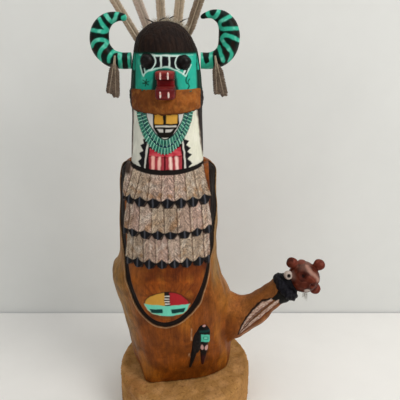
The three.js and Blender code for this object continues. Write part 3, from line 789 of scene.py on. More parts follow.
def plume_rows(coat, points):
    """Three shingled rows of carved feathers with black tips. Returns their height, the run of the barbs,
    how deeply they are cut, and the place across them."""
    x, z = coat.at.T
    height, run, hatch, across = (np.zeros(len(x)) for _ in range(4))
    for number, row in enumerate(PLUME_ROWS):
        low, peak, tip_x = (np.array(row[key]) for key in ("low", "peak", "tip_x"))
        gap_z = low.mean() + 5.4
        share = np.clip((z - gap_z) / (row["top"] - gap_z), 0, 1)[:, None]
        edges = np.array(row["gaps"]) * (1 - share) + np.array(row["top_gaps"]) * share
        which = (x[:, None] > edges).sum(1) - 1
        k = np.clip(which, 0, FEATHERS - 1)
        left, right = (np.take_along_axis(edges, (k + n)[:, None], 1)[:, 0] for n in (0, 1))
        tops = (np.array(row["top_gaps"])[k] + np.array(row["top_gaps"])[k + 1]) / 2
        quill = tip_x[k] * (1 - share[:, 0]) + tops * share[:, 0]
        # from 0 at the quill to 1 at the feather's edge
        u = np.where(x > quill, (x - quill) / np.maximum(right - quill, 0.5),
                     (quill - x) / np.maximum(quill - left, 0.5))
        u = np.clip(u, 0, 1)
        end = low[k] + 5.6 * u ** 2.1
        black_to = gap_z + (peak[k] - gap_z) * (1 - u) ** 1.35
        in_row = (which >= 0) & (which < FEATHERS) & (z < row["top"]) & (z > low.min() - 1)
        feather = in_row & (z > end)
        shadow_under_tips = in_row & (z <= end) & (z > end - 2.8) & (z > low[k] - 0.3)
        cover = soft_edge(z - end, 0.4) * in_row
        # painted shadow just under each feather's tip
        coat.lay("#20100c", 0.95 * shadow_under_tips * smooth(z, end - 2.8, end - 1.4))
        tone = np.array([srgb(TAUPES[(3 * i + number) % len(TAUPES)]) for i in range(FEATHERS)])[k]
        pale = smooth(ripple(points, 8, 41 + number), 0.1, 1.5) * smooth(z, end + 8, end + 18)
        rusty = smooth(ripple(points, 8, 45 + number), 0.1, 1.6) * smooth(z, end + 24, end + 8)
        tone = mixed(mixed(tone, "#c9beb1", 0.5 * pale), "#94683c", 0.6 * rusty)
        coat.lay(tone, cover, painted=0.9)
        apart = np.minimum(x - left, right - x)
        coat.lay("#cdbba4", 0.55 * cover * bell(x - left - 1.3, 0.5))
        coat.lay("#4a3427", 0.85 * cover * bell(apart, 0.45))
        coat.lay("#77634f", 0.5 * cover * bell(x - quill, 0.4) * (z > black_to))
        black = soft_edge(black_to - z, 0.5) * cover
        coat.lay("#100f12", black)
        coat.lay("#565860", 0.75 * black * bell(x - quill, 0.5))
        hatch = np.where(feather, 1 - black, hatch * (1 - in_row * (z > low[k])))
        run = np.where(feather, z * 0.9 + np.abs(x - quill) * 1.25, run)
        across = np.where(feather, x - quill + 9 * k, across)
        rise = PLUME_LIFT * (1 - np.clip((z - end) / (row["top"] - 8 - gap_z), 0, 1)) ** 1.1
        body = 0.35 + rise + 0.5 * (1 - u ** 2) - 0.45 * bell(apart, 0.5)
        body += 0.22 * bell(x - quill, 0.45)
        height = np.where(feather, body, height)
    return height, run, hatch, across


def sun_face(coat):
    """A sun shield on the bare wood under the feathers. Returns its slight height."""
    dome = drawn([(-33.2, 138.8), (-30, 145.2), (-24.4, 149.8), (-18, 151.8), (-12.3, 152.6), (-6, 151.9),
                  (-0.2, 148.9), (4.6, 143.6), (7.4, 138.6)])
    outline = np.concatenate([dome, [(5.6, 132), (1.8, 128.4), (-12.5, 126.8), (-26, 128.9), (-30.6, 133)]])
    coat.stroke("#5a2a10", outline, 1.1, 1.2, share=0.7, closed=True, painted=0.3)
    for x in np.linspace(-29, 3, 9):
        far = (x * 1.55 + 7, 161 - 0.012 * (x + 12) ** 2)
        coat.stroke("#38160a", [(x, 153.6 - 0.022 * (x + 12) ** 2), far], 0.8, 1.2, share=0.5, painted=0)
    left, right = coat.at[:, 0] < -12.3, coat.at[:, 0] >= -12.3
    coat.fill("#c8943c", dome, share=left)
    coat.fill("#a5232a", dome, share=right)
    coat.stroke("#33200f", dome, 0.9, 0.7, share=0.8)
    coat.fill("#1c1512", block(-14.7, 138.4, -10, 152.9))
    for z in (148.4, 145.7, 143.1, 140.5):
        coat.fill("#d8d5cc", block(-14.5, z - 0.55, -10.2, z + 0.55), 0.5)
    coat.fill("#6fd0b6", [(-33.3, 139), (-22, 139.2), (-12.5, 138.4), (-3, 138.9), (8, 138.6), (5.6, 132),
                          (1.8, 128.4),
                          (-12.5, 126.8), (-26, 128.9), (-30.6, 133)])
    coat.stroke("#b9c4a4", [(-32.6, 138.2), (-30.2, 133), (-25.8, 129.2), (-19, 127.9)], 1.1, 0.8)
    coat.stroke("#a8623a", [(-5, 127.6), (1.4, 128.7), (4.8, 131.8), (7.4, 137.6)], 1.0, 0.8)
    coat.fill("#0c3a37", [(-28.4, 134.2), (-16.4, 135), (-16.2, 130.7), (-26.8, 130)])
    coat.fill("#0c3a37", [(-9.2, 134.6), (3.6, 135.2), (2.4, 131), (-8.6, 130.3)])
    coat.stroke("#5c3b1a", drawn([(-25, 127.4), (-12.5, 124.8), (0.6, 127)]), 1.6, 1.2, share=0.7,
                painted=0.2)
    coat.stroke("#6a3413", drawn([(-21, 123.6), (-12, 121.8), (-3, 123.4)]), 0.8, 1.0, share=0.5, painted=0.2)
    return 0.35 * smooth(to_shape(coat.at, outline), 0.5, -0.6)


WRAP_LOW, SHOULDER = 109.6, 248
WRAP_COLUMNS = 262
SHOULDER_DROP = 2.4  # how far the wrap's top falls towards the torso


def wrap(finish):
    """The carved front of the wrap: the gouged line, the feather rows, the sun face and the rim."""
    heights = np.concatenate([np.arange(WRAP_LOW, SHOULDER, 0.52), heights_along(BODY, SHOULDER, BODY_TOP,
                                                                                 0.45)])
    start, end = -math.pi - 0.4, 0.4  # a little past each side
    grid = around(BODY, heights, start, end, WRAP_COLUMNS)
    inner = around(FIGURE, [259], start, end, WRAP_COLUMNS)[0]
    middle = np.array([HEAD_X, 0, BODY_TOP])
    inner = middle + (inner - middle) * [0.87, 0.87, 0] + [0, 0, 0.1]
    cap = [grid[-1] * (1 - t) + inner * t - [0, 0, SHOULDER_DROP * float(smooth(t, 0.1, 0.75))]
           for t in np.linspace(0, 1, 15)[1:]]
    grid = np.concatenate([grid, np.stack(cap)])
    normal = grid_normals(grid).reshape(-1, 3)
    normal[len(heights) * WRAP_COLUMNS:] = (0, 0, 1)
    points = grid.reshape(-1, 3)
    off, half = from_gouge(points)
    coat = Coat(points, root_colour(points))
    inside = smooth(off + half, 0.6, -0.4)
    wood = mottled(points * [1, 1, 0.5], "#83400f", "#642c0a", 17, 51, -0.6, 1.6)
    wood = mottled(points * [1, 1, 0.7], wood, "#9c5a1c", 13, 52, 0.5, 1.8, 0.5)
    wood = mixed(wood, "#4c1f08", 0.6 * smooth(points[:, 2], 160, 174))
    coat.lay(wood, inside * (points[:, 2] < 250), painted=0)
    coat.lay("#9a5a22", 0.5 * smooth(points[:, 0], -24, -40) * inside, painted=0)
    height, run, hatch, across = plume_rows(coat, points)
    kept = (off + half < 0.5) & (points[:, 1] < -3)
    height, hatch = height * kept, hatch * kept
    height = height + sun_face(coat) * kept
    coat.lay(root_colour(points), smooth(off + half, 0, 0.6), painted=0)
    outline = around(FIGURE, [259.5], -math.pi, math.pi, 240)[0][:, :2]
    from_torso = to_shape(points[:, :2], outline)
    rim_wide = 0.5 + 2.5 * smooth(points[:, 1], -7, -19)
    rim = smooth(from_torso - rim_wide, 0.3, -0.3) * (points[:, 2] > 253.5)
    coat.lay("#120e0c", rim)
    corner = smooth(points[:, 2], 252.5, 256) * smooth(points[:, 0], -39, -42) * (points[:, 1] < 4)
    coat.lay("#2c180c", 0.95 * corner, painted=0.3)
    hatch = hatch * (1 - np.maximum(corner, rim))
    coat.lay("#170d08", 1 - smooth(np.abs(off), half - 0.25, half + 0.25), painted=0.85)
    coat.lay("#3a1f10", 0.5 * bell(off + half - 0.7, 0.5), painted=0.6)
    # painted highlight: a pale line just outside the gouge's outer edge
    coat.lay("#b79a74", 0.6 * bell(off - half - 0.6, 0.45), painted=0.2)
    height = height * (1 - rim) + 0.5 * rim
    height = height + knots(points) * smooth(off, -1, 3)
    height = height - GOUGE_DEEP * (1 - smooth(np.abs(off), half - 0.9, half + 0.3))
    height = height + 0.12 - 1.1 * smooth(off - half, 1.5, 2.6)
    points = pushed(points, normal, height)
    faces = grid_faces(len(grid), WRAP_COLUMNS)
    faces = faces[((off - half)[faces] < 2.8).all(1)]
    faces = faces.tolist()
    points = np.append(points, [(HEAD_X, 6, 190)], 0)
    faces += fan_over_edges(faces, len(points) - 1)
    shape, used = without_strays(points, faces)
    coat.rgba = np.append(coat.rgba, [(0.1, 0.05, 0.03, 0)], 0)[used]
    work = np.append(np.stack([run, hatch, across], 1), [(0, 0, 0)], 0)[used]
    piece("feather_wrap", shape, finish, coat, work=work)


# ---------------------------------------------------------------- torso, necklace, ruff, mask and hair

BEADS_OUT = [(-35, 310), (-34.4, 305), (-33, 297.9), (-30.2, 288.6), (-25.6, 281), (-19.9, 275.3),
             (-13, 272.6),
             (-6.4, 274.3), (0.4, 280.4), (5.6, 288.3), (9, 296.5), (11.2, 305), (12.2, 310)]
BEADS_MIDDLE = [(-30.2, 310), (-29.6, 305.4), (-28.6, 298.5), (-25.8, 290.8), (-20.8, 283.8), (-13.9, 279.3),
                (-8.2, 279.6), (-2.4, 284.2), (2.8, 292), (5.1, 298.6), (7.4, 305.4), (8.4, 310)]
BEADS_IN = [(-26, 310), (-25.6, 306), (-24.4, 299.4), (-21.6, 293.9), (-17.1, 288.3), (-11.5, 285.2),
            (-5.2, 288.3),
            (-1.1, 293.9), (1.8, 299.4), (4.1, 306), (4.6, 310)]


CHEST = 302  # the torso keeps its width from here up, inside the ruff


def torso(finish):
    """The torso from inside the wrap to the ruff: a painted blanket, sash and fringe."""
    heights = np.arange(247, 312, 0.5)
    chest = np.minimum(heights, CHEST)
    front, back = around(FIGURE, chest, -math.pi, 0, 190), around(FIGURE, chest, 0, math.pi, 90)
    front[..., 2], back[..., 2] = heights[:, None], heights[:, None]
    points, faces = lofted(np.concatenate([front, back[:, 1:-1]], 1))
    coat = Coat(points, "#e3e3d6", 1)
    x, z = coat.at.T
    on = coat.where = coat.front
    # painted light on the blanket's right side, and painted shade towards its left edge
    coat.lay("#e6e6d2", 0.8 * smooth(x, -6, 14))
    coat.lay("#c9cabf", 0.5 * smooth(x, -26, -38) * on)
    coat.lay("#f1f0e2", 0.5 * smooth(ripple(points, 12, 61), 0.4, 1.6))
    side_left, side_right = -37.5 - 0.085 * (305 - z), 14.5 + 0.114 * (306 - z)
    beyond = np.maximum(side_left - x, x - side_right)
    side = smooth(beyond, -0.3, 0.3) * (points[:, 1] < 7) * smooth(z, 262, 270)
    coat.lay("#1d1310", side)
    coat.lay("#5a2f20", 0.7 * bell(beyond + 0.3, 0.5) * (points[:, 1] < 0) * smooth(z, 262, 274))
    # the saw-toothed black edges of the blanket, its white piping and the maroon cloth between
    left_teeth = [(-27.2, 284.6), (-29.8, 283.7), (-28.6, 281), (-32.2, 279), (-30, 274.9), (-33.4, 272.3),
                  (-31.3, 268.5), (-34.7, 265.1), (-32.6, 261.4), (-33.6, 257), (-24, 257), (-22, 284)]
    right_teeth = [(3.2, 287.4), (4.6, 286.4), (4.2, 284.4), (8, 282.8), (5.2, 279.9), (9, 276.9),
                   (6.3, 273.9),
                   (9.8, 271), (6.6, 267.9), (10.4, 263.6), (7.2, 261), (8.4, 257), (0, 257), (-2, 284)]
    coat.fill("#17161a", left_teeth)
    coat.fill("#17161a", right_teeth)
    coat.fill("#241012", [(-25.4, 283), (-27.6, 272), (-29.2, 257), (5.6, 257), (4, 272), (1.4, 286)])
    coat.stroke("#d9d8ce", [(-25.2, 283), (-27.2, 272), (-29.6, 257)], 1.5)
    coat.stroke("#d9d8ce", [(2, 285), (4, 273), (4.6, 257)], 1.4)
    sash = [(-24.6, 257), (-25.2, 270), (-23.9, 277.4), (-13, 272.6), (0.9, 278.6), (1.9, 270), (1.7, 257)]
    coat.fill(mottled(points * [1, 1, 2], "#b9303e", "#d3515a", 7, 62, -1, 1), sash)
    coat.fill("#b34048", block(-25.2, 257, 1.8, 270.4))
    coat.stroke("#7d1722", [(-25, 270.7), (-12, 269.8), (1.6, 271)], 0.9)
    for x0, x1, wide, shade in ((-21.5, -22.2, 2.6, "#f9bcae"), (-16.2, -17, 2.2, "#f7c3b5"),
                                (-7.4, -7.1, 2.4, "#ffdccf"), (-2.5, -2, 2.5, "#fcd6cb")):
        coat.stroke(shade, [(x0, 269.6), (x1, 258)], wide, 1.2)
    for x0 in (-24.2, -19.2, -14.4, -9.6, -4.8, 0.3):
        coat.stroke("#8b2430", [(x0, 269.6), (x0 - 0.4, 258)], 0.8, 0.8, share=0.8)
    coat.stroke("#4c0d16", [(-12, 270.4), (-12.3, 257)], 1.5, 0.8)
    coat.stroke("#1a0f10", [(-25.3, 276), (-25.9, 257)], 0.9)
    # the bib between the beads
    coat.fill("#d8d6d2", [(-26, 311), (-24, 298), (-18, 288), (-5, 288), (1.6, 298), (4.5, 311)])
    coat.fill("#17130f", [(-20.6, 311), (-20.7, 293.6), (-15.8, 286), (-6.4, 286), (0.2, 297), (-0.9, 311)])
    coat.fill("#d39a37", block(-19.3, 296.9, -12.6, 305.4))
    coat.fill("#dba544", [(-10.2, 297.1), (-1.5, 297.3), (-1.2, 305.4), (-10.2, 305.4)])
    coat.fill("#d3cfc4", [(-18.9, 294.4), (-2, 294.6), (-2.2, 295.9), (-19.1, 295.7)], 0.5)
    coat.fill("#cfcdc6", [(-17.4, 293), (-12.9, 292.8), (-12.9, 290.2), (-15.9, 290.6)], 0.5)
    coat.fill("#cfcdc6", [(-10.9, 292.8), (-4.9, 293), (-6.6, 290.8), (-10.8, 290.3)], 0.5)
    # painted shade under the real relief of the beads: a dark ground for the gaps between them
    strand = np.concatenate([drawn(BEADS_OUT), drawn(BEADS_IN)[::-1]])
    coat.fill("#08282a", strand)
    coat.stroke("#123f5c", drawn(BEADS_MIDDLE), 0.9)
    from_rim = z - (259.2 + 0.0033 * (x + 12) ** 2)
    coat.lay("#120e0c", smooth(from_rim, 0.4, -0.1) * on)
    coat.lay("#4a3a2c", smooth(z, 262.5, 260.8) * ~on)
    piece("painted_torso", (points, faces), finish, coat)


BEAD_RADIUS = 0.52


def necklace(finish):
    """Two strands of turquoise heishi: short bars laid side by side round the neck."""
    shapes, tones = [], []
    draw = np.random.default_rng(3)
    for outer, inner, count in ((BEADS_OUT, BEADS_MIDDLE, 71), (BEADS_MIDDLE, BEADS_IN, 53)):
        for k, (a, b) in enumerate(zip(evenly(drawn(outer, 20), count), evenly(drawn(inner, 20), count))):
            a, b = a + (b - a) * (0.1 - 0.16 * (k % 2)), b + (a - b) * 0.14
            flat = a + (b - a) * np.linspace(0, 1, 6)[:, None]
            proud = front_of(FIGURE, flat[:, 0], np.minimum(flat[:, 1], CHEST - 0.5)) - 0.2
            path = np.stack([flat[:, 0], proud, flat[:, 1]], 1)
            shapes.append(tube(path, BEAD_RADIUS * np.array([0.8, 1, 1, 1, 1, 0.72]), 7, 0.9))
            shades = ("#8fd0b8", "#a5dcc8", "#7cc2a9") if k % 2 else ("#1f6a5c", "#2c7d6c", "#17594e")
            tone = mixed("#3f917c", shades[draw.integers(3)], draw.uniform(0.7, 1))[0]
            along = np.append(np.repeat([0.25, 0.1, 0, 0, 0, 0.3], 7), [0.3, 0.3])
            tones.append(np.column_stack([mixed(tone, "#b5dccb", along), np.ones(len(along))]))
    piece("turquoise_necklace", joined(shapes), finish, np.concatenate(tones))


RUFF_LOW, RUFF_TOP, RUFF_CURVE = 303.4, 323.6, 3.2


def ruff(finish):
    """The fur ruff between torso and mask, a soft ring with its hair lying outwards."""
    heights = heights_along(FIGURE, RUFF_LOW, RUFF_TOP, 0.5)
    grid = around(FIGURE, heights, -math.pi, math.pi, 321)[:, :-1]
    normal = grid_normals(grid, True).reshape(-1, 3)
    points = grid.reshape(-1, 3)
    tufts = 0.3 + 0.12 * ripple(points * [1, 1, 0.5], 2.6, 71) + 0.16 * ripple(points, 6, 72)
    points = pushed(points, normal, tufts * smooth(points[:, 2], RUFF_LOW, 307) * smooth(points[:, 2], 324.2,
                                                                                         323))
    # its lower edge hangs lowest in the middle
    lift = 0.9 + RUFF_CURVE * ((points[:, 0] - HEAD_X) / 29) ** 2 + 0.25 * ripple(points * [1, 1, 0], 3, 75)
    points[:, 2] += lift * (RUFF_TOP - points[:, 2]) / (RUFF_TOP - RUFF_LOW)
    points, faces = lofted(points.reshape(grid.shape))
    # painted light: the ruff grows lighter towards its right side
    tone = mixed("#7a4318", "#97561f", smooth(points[:, 0], -28, 8))
    tone = mottled(points, tone, "#5c2d0e", 7, 73, 0, 1.6, 0.4)
    # painted shade on the ruff's left side
    tone = mixed(tone, "#5a2c10", 0.5 * smooth(points[:, 0], -22, -36))
    tone = mottled(points, tone, "#ad7236", 7, 74, 0.2, 1.8, 0.3)
    # painted shade along the ruff's lower edge, where it hangs over the torso
    from_edge = points[:, 2] - RUFF_CURVE * ((points[:, 0] - HEAD_X) / 29) ** 2
    tone = mixed(tone, "#3a1a0b", 0.8 * smooth(from_edge, 306, 304.6))
    beyond = np.maximum(-38.2 - points[:, 0], points[:, 0] - 17)
    tone = mixed(tone, "#1b110d", smooth(beyond, -0.6, 0.6))
    coat = Coat(points, tone, 0)
    piece("fur_ruff", (points, faces), finish, coat)


MASK_LOW, HAIR_LOW = 321.6, 350.2


def mask(finish, hair):
    """The case mask in turquoise, and above and behind it the hair."""
    heights = heights_along(FIGURE, MASK_LOW, 372.9, 0.48)
    front, back = around(FIGURE, heights, -math.pi, 0, 196), around(FIGURE, heights, 0, math.pi, 100)
    grid = np.concatenate([front, back[:, 1:-1]], 1)
    normal = grid_normals(grid, True).reshape(-1, 3)
    points = grid.reshape(-1, 3)
    x, z = points[:, 0], points[:, 2]
    side_left, side_right = -33.3 - (350 - z) * 0.05, 13.8 + (350 - z) * 0.03
    socket = smooth(np.abs(z - 344), 7, 6)  # the paint runs round to the horns at their height
    side_left, side_right = side_left - 3.4 * socket, side_right + 3.2 * socket
    face = (points[:, 1] < 0) & (z < HAIR_LOW) & (x > side_left) & (x < side_right)
    off_face = np.maximum.reduce([z - HAIR_LOW, side_left - x, x - side_right, points[:, 1] + 4])
    strands = 0.12 * ripple(points * [1, 1, 0.06], 2.2, 81) * smooth(off_face, 0.2, 1.5)
    points = pushed(points, normal, 0.55 * smooth(off_face, -0.1, 0.8) + strands)
    points, faces = lofted(points.reshape(grid.shape))
    face = np.append(face, [False, False])
    off_face = np.append(off_face, [9, 9])
    coat = Coat(points, "#1c9f88", 1)
    coat.where = face
    x, z = coat.at.T
    # painted light towards the right of the mask, and painted shade towards its left
    coat.lay("#31baa2", 0.75 * smooth(x, -14, 12))
    coat.lay("#268a72", 0.6 * smooth(x, -24, -34))
    coat.lay("#5fcdb2", 0.35 * smooth(ripple(points, 8, 82), 0.5, 1.8))
    coat.lay("#0c3a2c", 0.85 * smooth(z, 324.2, 322.6))
    eyes = ((-23.7, 344.8, 6.7, -78, 58),
            (4.0, 343.6, 6.0, 128, 238))  # x, z, white arc's radius, start and end
    # the black band between the eyes, cut into squares by two white bars, with a tear below each eye
    coat.fill("#14141a", [(-18.6, 348.2), (-0.2, 348), (0.6, 342), (-0.4, 338.6), (-5.6, 340.2), (-9.8, 341),
                          (-13.6, 340.6), (-18.6, 339.5), (-20, 343)])
    coat.fill("#14141a", [(-29.8, 345), (-29, 342), (-27.7, 338.1), (-26.8, 334.6), (-25.7, 336.9),
                          (-24, 338.4),
                          (-18.6, 339.4), (-19, 345)])
    coat.fill("#14141a", [(10, 344.4), (9.5, 341.6), (6.8, 336.9), (5.2, 334.4), (4.3, 336.9), (3.2, 338.7),
                          (-0.6, 338.8), (-0.4, 344)])
    white = "#d6efe6"
    brow = [(-30, 349.2), (-20, 349.3), (-9.6, 349.2), (2, 349), (11, 348.9)]
    coat.stroke("#a9e2d2", drawn(brow), 0.7, 0.7, share=0.6)
    coat.stroke(white, drawn([(-21, 349.2), (-17, 348.7), (-9.6, 348.9), (-2, 348.4), (1, 348.6)]), 1.3)
    for bar in (-12.75, -6.4):
        coat.stroke(white, [(bar, 348.6), (bar - 0.1, 340.2)], 1.35)
    coat.stroke("#bfe6da", drawn([(-29.3, 341), (-28, 337), (-26.9, 333.6), (-25.7, 335.6), (-23.6, 337.2),
                                  (-19, 338.6), (-12.7, 340.1), (-9.8, 340.5), (-6.6, 340.1), (-2.4, 338.4),
                                  (1.3, 336.7), (3.4, 335.6), (5.3, 333.6), (6.5, 335.6), (9.7, 341.8)]),
                                  1.05)
    coat.stroke("#bfe6da", [(-25.9, 339), (-25.4, 336.6)], 0.8)
    coat.stroke("#dff5ee", [(5.4, 338.6), (4.4, 336.4), (3.6, 335)], 1.2)
    for ex, ez, radius, start, end in eyes:
        sweep = np.radians(np.linspace(start, end, 24))
        coat.stroke(white, np.stack([ex + radius * np.cos(sweep), ez + radius * np.sin(sweep)], 1), 0.95)
        coat.lay("#101014", smooth(from_spot(coat.at, (ex, ez)), 5.9, 5.5) * face)
    for turn in (0.35, 1.4, 2.45):
        way = 2.7 * np.array([math.cos(turn), math.sin(turn)])
        coat.stroke("#0b3b2c", [(-25.2, 328.9) - way, (-25.2, 328.9) + way], 0.85)
    coat.stroke("#0b3b2c", drawn([(7.2, 334), (5.9, 331.2), (6.1, 328.3), (7.7, 327.6)]), 0.8)
    coat.stroke("#0b3b2c", drawn([(8.5, 331), (7.3, 328.8), (8.3, 325.8), (7.1, 324)]), 0.8)
    for edge_x in (-33.9, 14.1):
        coat.stroke("#0a3328", [(edge_x, 351), (edge_x, 337)], 0.8, 0.8)
    snout_edge = drawn([(-19.6, 331.5), (-18.4, 336.4), (-14.6, 338.8), (-6, 338.8), (-2, 336.4), (-1.2, 331),
                        (-1.4, 318), (-19.4, 318)], closed=True)
    coat.fill("#0f3a30", snout_edge, 1.4)
    dark = mottled(points * [1, 1, 0.1], "#190e0a", "#24160f", 5, 83, -1, 1.4)
    coat.lay(dark, smooth(off_face, -0.15, 0.35), painted=0)
    coat.lay("#062f24", 0.85 * bell(off_face - 0.1, 0.85) * (points[:, 1] < 0))
    coat.lay("#0a3328", 0.7 * smooth(off_face, 0, 0.8) * smooth(z, 349, 342) * (points[:, 1] < -2))
    finish_mask(finish, hair, points, faces, coat.rgba, off_face > 0.5)


def finish_mask(finish, hair, points, faces, rgba, is_hair):
    """The painted mask and the combed hair are two pieces, each closed by a point deep inside the head."""
    top = [f for f in faces if is_hair[list(f)].all()]
    rest = [f for f in faces if not is_hair[list(f)].all()]
    points = np.append(points, [(HEAD_X, 2, 340)], 0)
    rgba = np.append(rgba, [(0.02, 0.02, 0.02, 1)], 0)
    for name, part, skin in (("case_mask", rest, finish), ("combed_hair", top, hair)):
        shape, used = without_strays(points, part + fan_over_edges(part, len(points) - 1))
        piece(name, shape, skin, rgba[used])


def eyes_and_mouth(finish):
    """Domed black eyes, and two square red jaws with ivory-painted fangs."""
    domes = [pebble((x, float(front_of(FIGURE, x, z)) + 0.6, z), (5.3, 4.2, 5.3)) for x, z in
             ((-23.6, 344.6), (4.1, 343.5))]
    points, faces = joined(domes)
    coat = Coat(points, mottled(points, "#0d0a09", "#1b1615", 5, 91, -0.5, 1.5), 1)
    piece("pop_eyes", (points, faces), finish, coat)
    x = -9.3
    jaws = [pebble((x, -31.6, 334.7), (7.5, 9.2, 3.5), 0.42, -0.05, 36, 56),
            pebble((x - 0.1, -31.8, 322.6), (7.7, 9.4, 4.8), 0.42, 0.08, 36, 56),
            pebble((x - 0.1, -27.6, 329.4), (6.6, 7.6, 6.5), 0.4, 0, 30, 44)]
    points, faces = joined(jaws)
    throat = np.arange(len(points)) >= len(points) - len(jaws[2][0])
    coat = Coat(points, mottled(points, "#5e171a", "#7e2927", 4, 92, -0.8, 1.6), 1)
    coat.lay("#73090f", throat)
    px, pz = points[:, 0], points[:, 2]
    upper, lower = pz > 331, pz < 327.9
    # painted highlights on the tops of both jaws, and painted shade under the upper jaw
    coat.lay("#b04a40", 0.5 * (smooth(pz, 336.2, 338.4) * upper + smooth(pz, 326, 327.4) * lower) * ~throat)
    coat.lay("#3a0b0c", 0.85 * (smooth(pz, 333.2, 331.8) * upper) * ~throat)
    coat.lay("#12100f", smooth(np.abs(px - x), 6.7, 7.4) * ~throat * (upper | (pz > 325)))
    coat.lay("#4c1012", 0.7 * smooth(np.abs(px - x), 6.4, 7.6) * ~throat * lower)
    piece("red_jaws", (points, faces), finish, coat)
    fangs = []
    for cx, cz, half_z, y in ((-12.5, 335, 2.6, -40.6), (-6.9, 335, 2.6, -40.6), (-12.8, 321.6, 2.4, -41.0),
                              (-6.7, 321.6, 2.4, -41.0)):
        fangs.append(pebble((cx, y, cz), (0.72, 0.6, half_z), 0.7, 0, 16, 16))
    points, faces = joined(fangs)
    coat = Coat(points, mottled(points, "#e8d8cf", "#e0a49a", 3, 93, 0, 1.5), 1)
    piece("ivory_fangs", (points, faces), finish, coat)


# ---------------------------------------------------------------- horns

HORN_LEFT = [(28, 343.9), (36, 343.9), (44.7, 346.2), (51, 352.9), (52.45, 360.6), (50.4, 368.7),
             (44.7, 374.7),
             (36.6, 376.9), (29.9, 375.6)]
HORN_RIGHT = [(28, 343.9), (36, 343.9), (43.6, 346.4), (49, 352.4), (50.7, 361), (49.4, 369.4), (45, 375.6),
              (38.6, 378.4), (33.2, 378), (28, 376.2)]
LEFT_LINES = [[(-47.7, 379.8), (-49.6, 374.9), (-52, 372.6), (-54, 374.9), (-57.2, 379.2)],
              [(-61.6, 375.4), (-58.2, 369.8), (-56.3, 367), (-58.4, 365.7), (-62, 366.2), (-68.4, 367)],
              [(-69.4, 354.6), (-65.9, 358.4), (-61.7, 359.9), (-57.6, 359), (-57.1, 356.6), (-61.1, 352.2),
               (-63.5, 347.8), (-63.2, 343.6)],
              [(-56, 343.4), (-55.2, 347), (-53, 350.3), (-50.5, 351.6), (-47.6, 351.6)]]
RIGHT_LINES = [[(31.4, 382), (30.1, 378.5), (27.4, 375.8), (24.4, 376.4), (22.5, 378.8), (22.7, 381.6)],
               [(47, 368.2), (39.9, 368), (34.6, 367.6), (31.9, 369.8), (32.4, 372.7), (35.9, 374.9),
                (40.3, 377.2)],
               [(40, 343.6), (41.6, 349.2), (38.6, 353.7), (34, 359.4), (34.4, 362.4), (37.7, 363.1),
                (42.4, 361.5),
                (47.6, 359.4)],
               [(24.9, 346.4), (26, 351.8), (28.4, 354.2), (31.3, 354.4), (32.6, 350.7), (35, 344)]]


HORN_ROOT = 6.4  # radius where the horn leaves the head


def horn(finish, side, thick, lines):
    """One curling horn: black-green, with a winding turquoise line and a turquoise tip."""
    t = np.linspace(0, 1, 260)
    x, z = evenly(drawn(HORN_RIGHT if side > 0 else HORN_LEFT, 40), len(t)).T
    tip_wide = 1.7 if side > 0 else 2.6
    swelling = HORN_ROOT + (thick - HORN_ROOT) * smooth(t, 0.05, 0.5)
    radius = np.where(t < 0.5, swelling, thick + (tip_wide - thick) * smooth(t, 0.5, 1.03))
    tip = np.clip((t - 0.96) / 0.042, 0, 1)
    radius = radius * np.sqrt(np.clip(1 - tip**2, 0.02, 1))
    points, faces = tube(np.stack([x, np.zeros(len(t)), z], 1), radius, 110)
    points = points * [side, 1, 1] + [HEAD_X, 0, 0]
    if side < 0:
        faces = [f[::-1] for f in faces]
    coat = Coat(points, mottled(points, "#051a15", "#1c120d", 9, 101, -0.2, 1.4), 1)
    green = mottled(points, "#35b294", "#6ccdb4", 6, 102, -0.3, 1.8)
    for line in lines:
        coat.stroke("#0d4a3b", drawn(line), 3.9, 1.2, share=0.5)
        coat.stroke(green, drawn(line), 2.8, 0.7)
    if side < 0:
        coat.fill(green, block(-48.6, 334, -45.5, 355), 0.6)
        coat.fill(green, block(-41, 334, -37.2, 355), 0.6)
        coat.stroke(green, [(-39.5, 376.6), (-42.6, 375.4)], 4.6, 0.7)
    else:
        coat.fill(green, block(13.6, 334, 18.4, 355), 0.6)
        coat.fill(green, drawn([(18, 346), (20.4, 340.4), (22.6, 334), (18, 334)], closed=True), 0.6)
        coat.fill(green, [(18, 334), (27.4, 334), (26, 352), (24.2, 352), (23.9, 343.2), (21.2, 341.4),
                          (19.2, 345.2),
                          (18.6, 352), (17, 352)], 0.6)
        coat.fill("#081a15", block(12, 370, 20.6, 384), 1.2)
    head_side = smooth(np.abs(points[:, 0] - HEAD_X), 27.2, 26.2)
    coat.lay("#07251d", head_side)
    name = "horn_right" if side > 0 else "horn_left"
    piece(f"painted_{name}", (points, faces), finish, coat, name)


# ---------------------------------------------------------------- real feathers

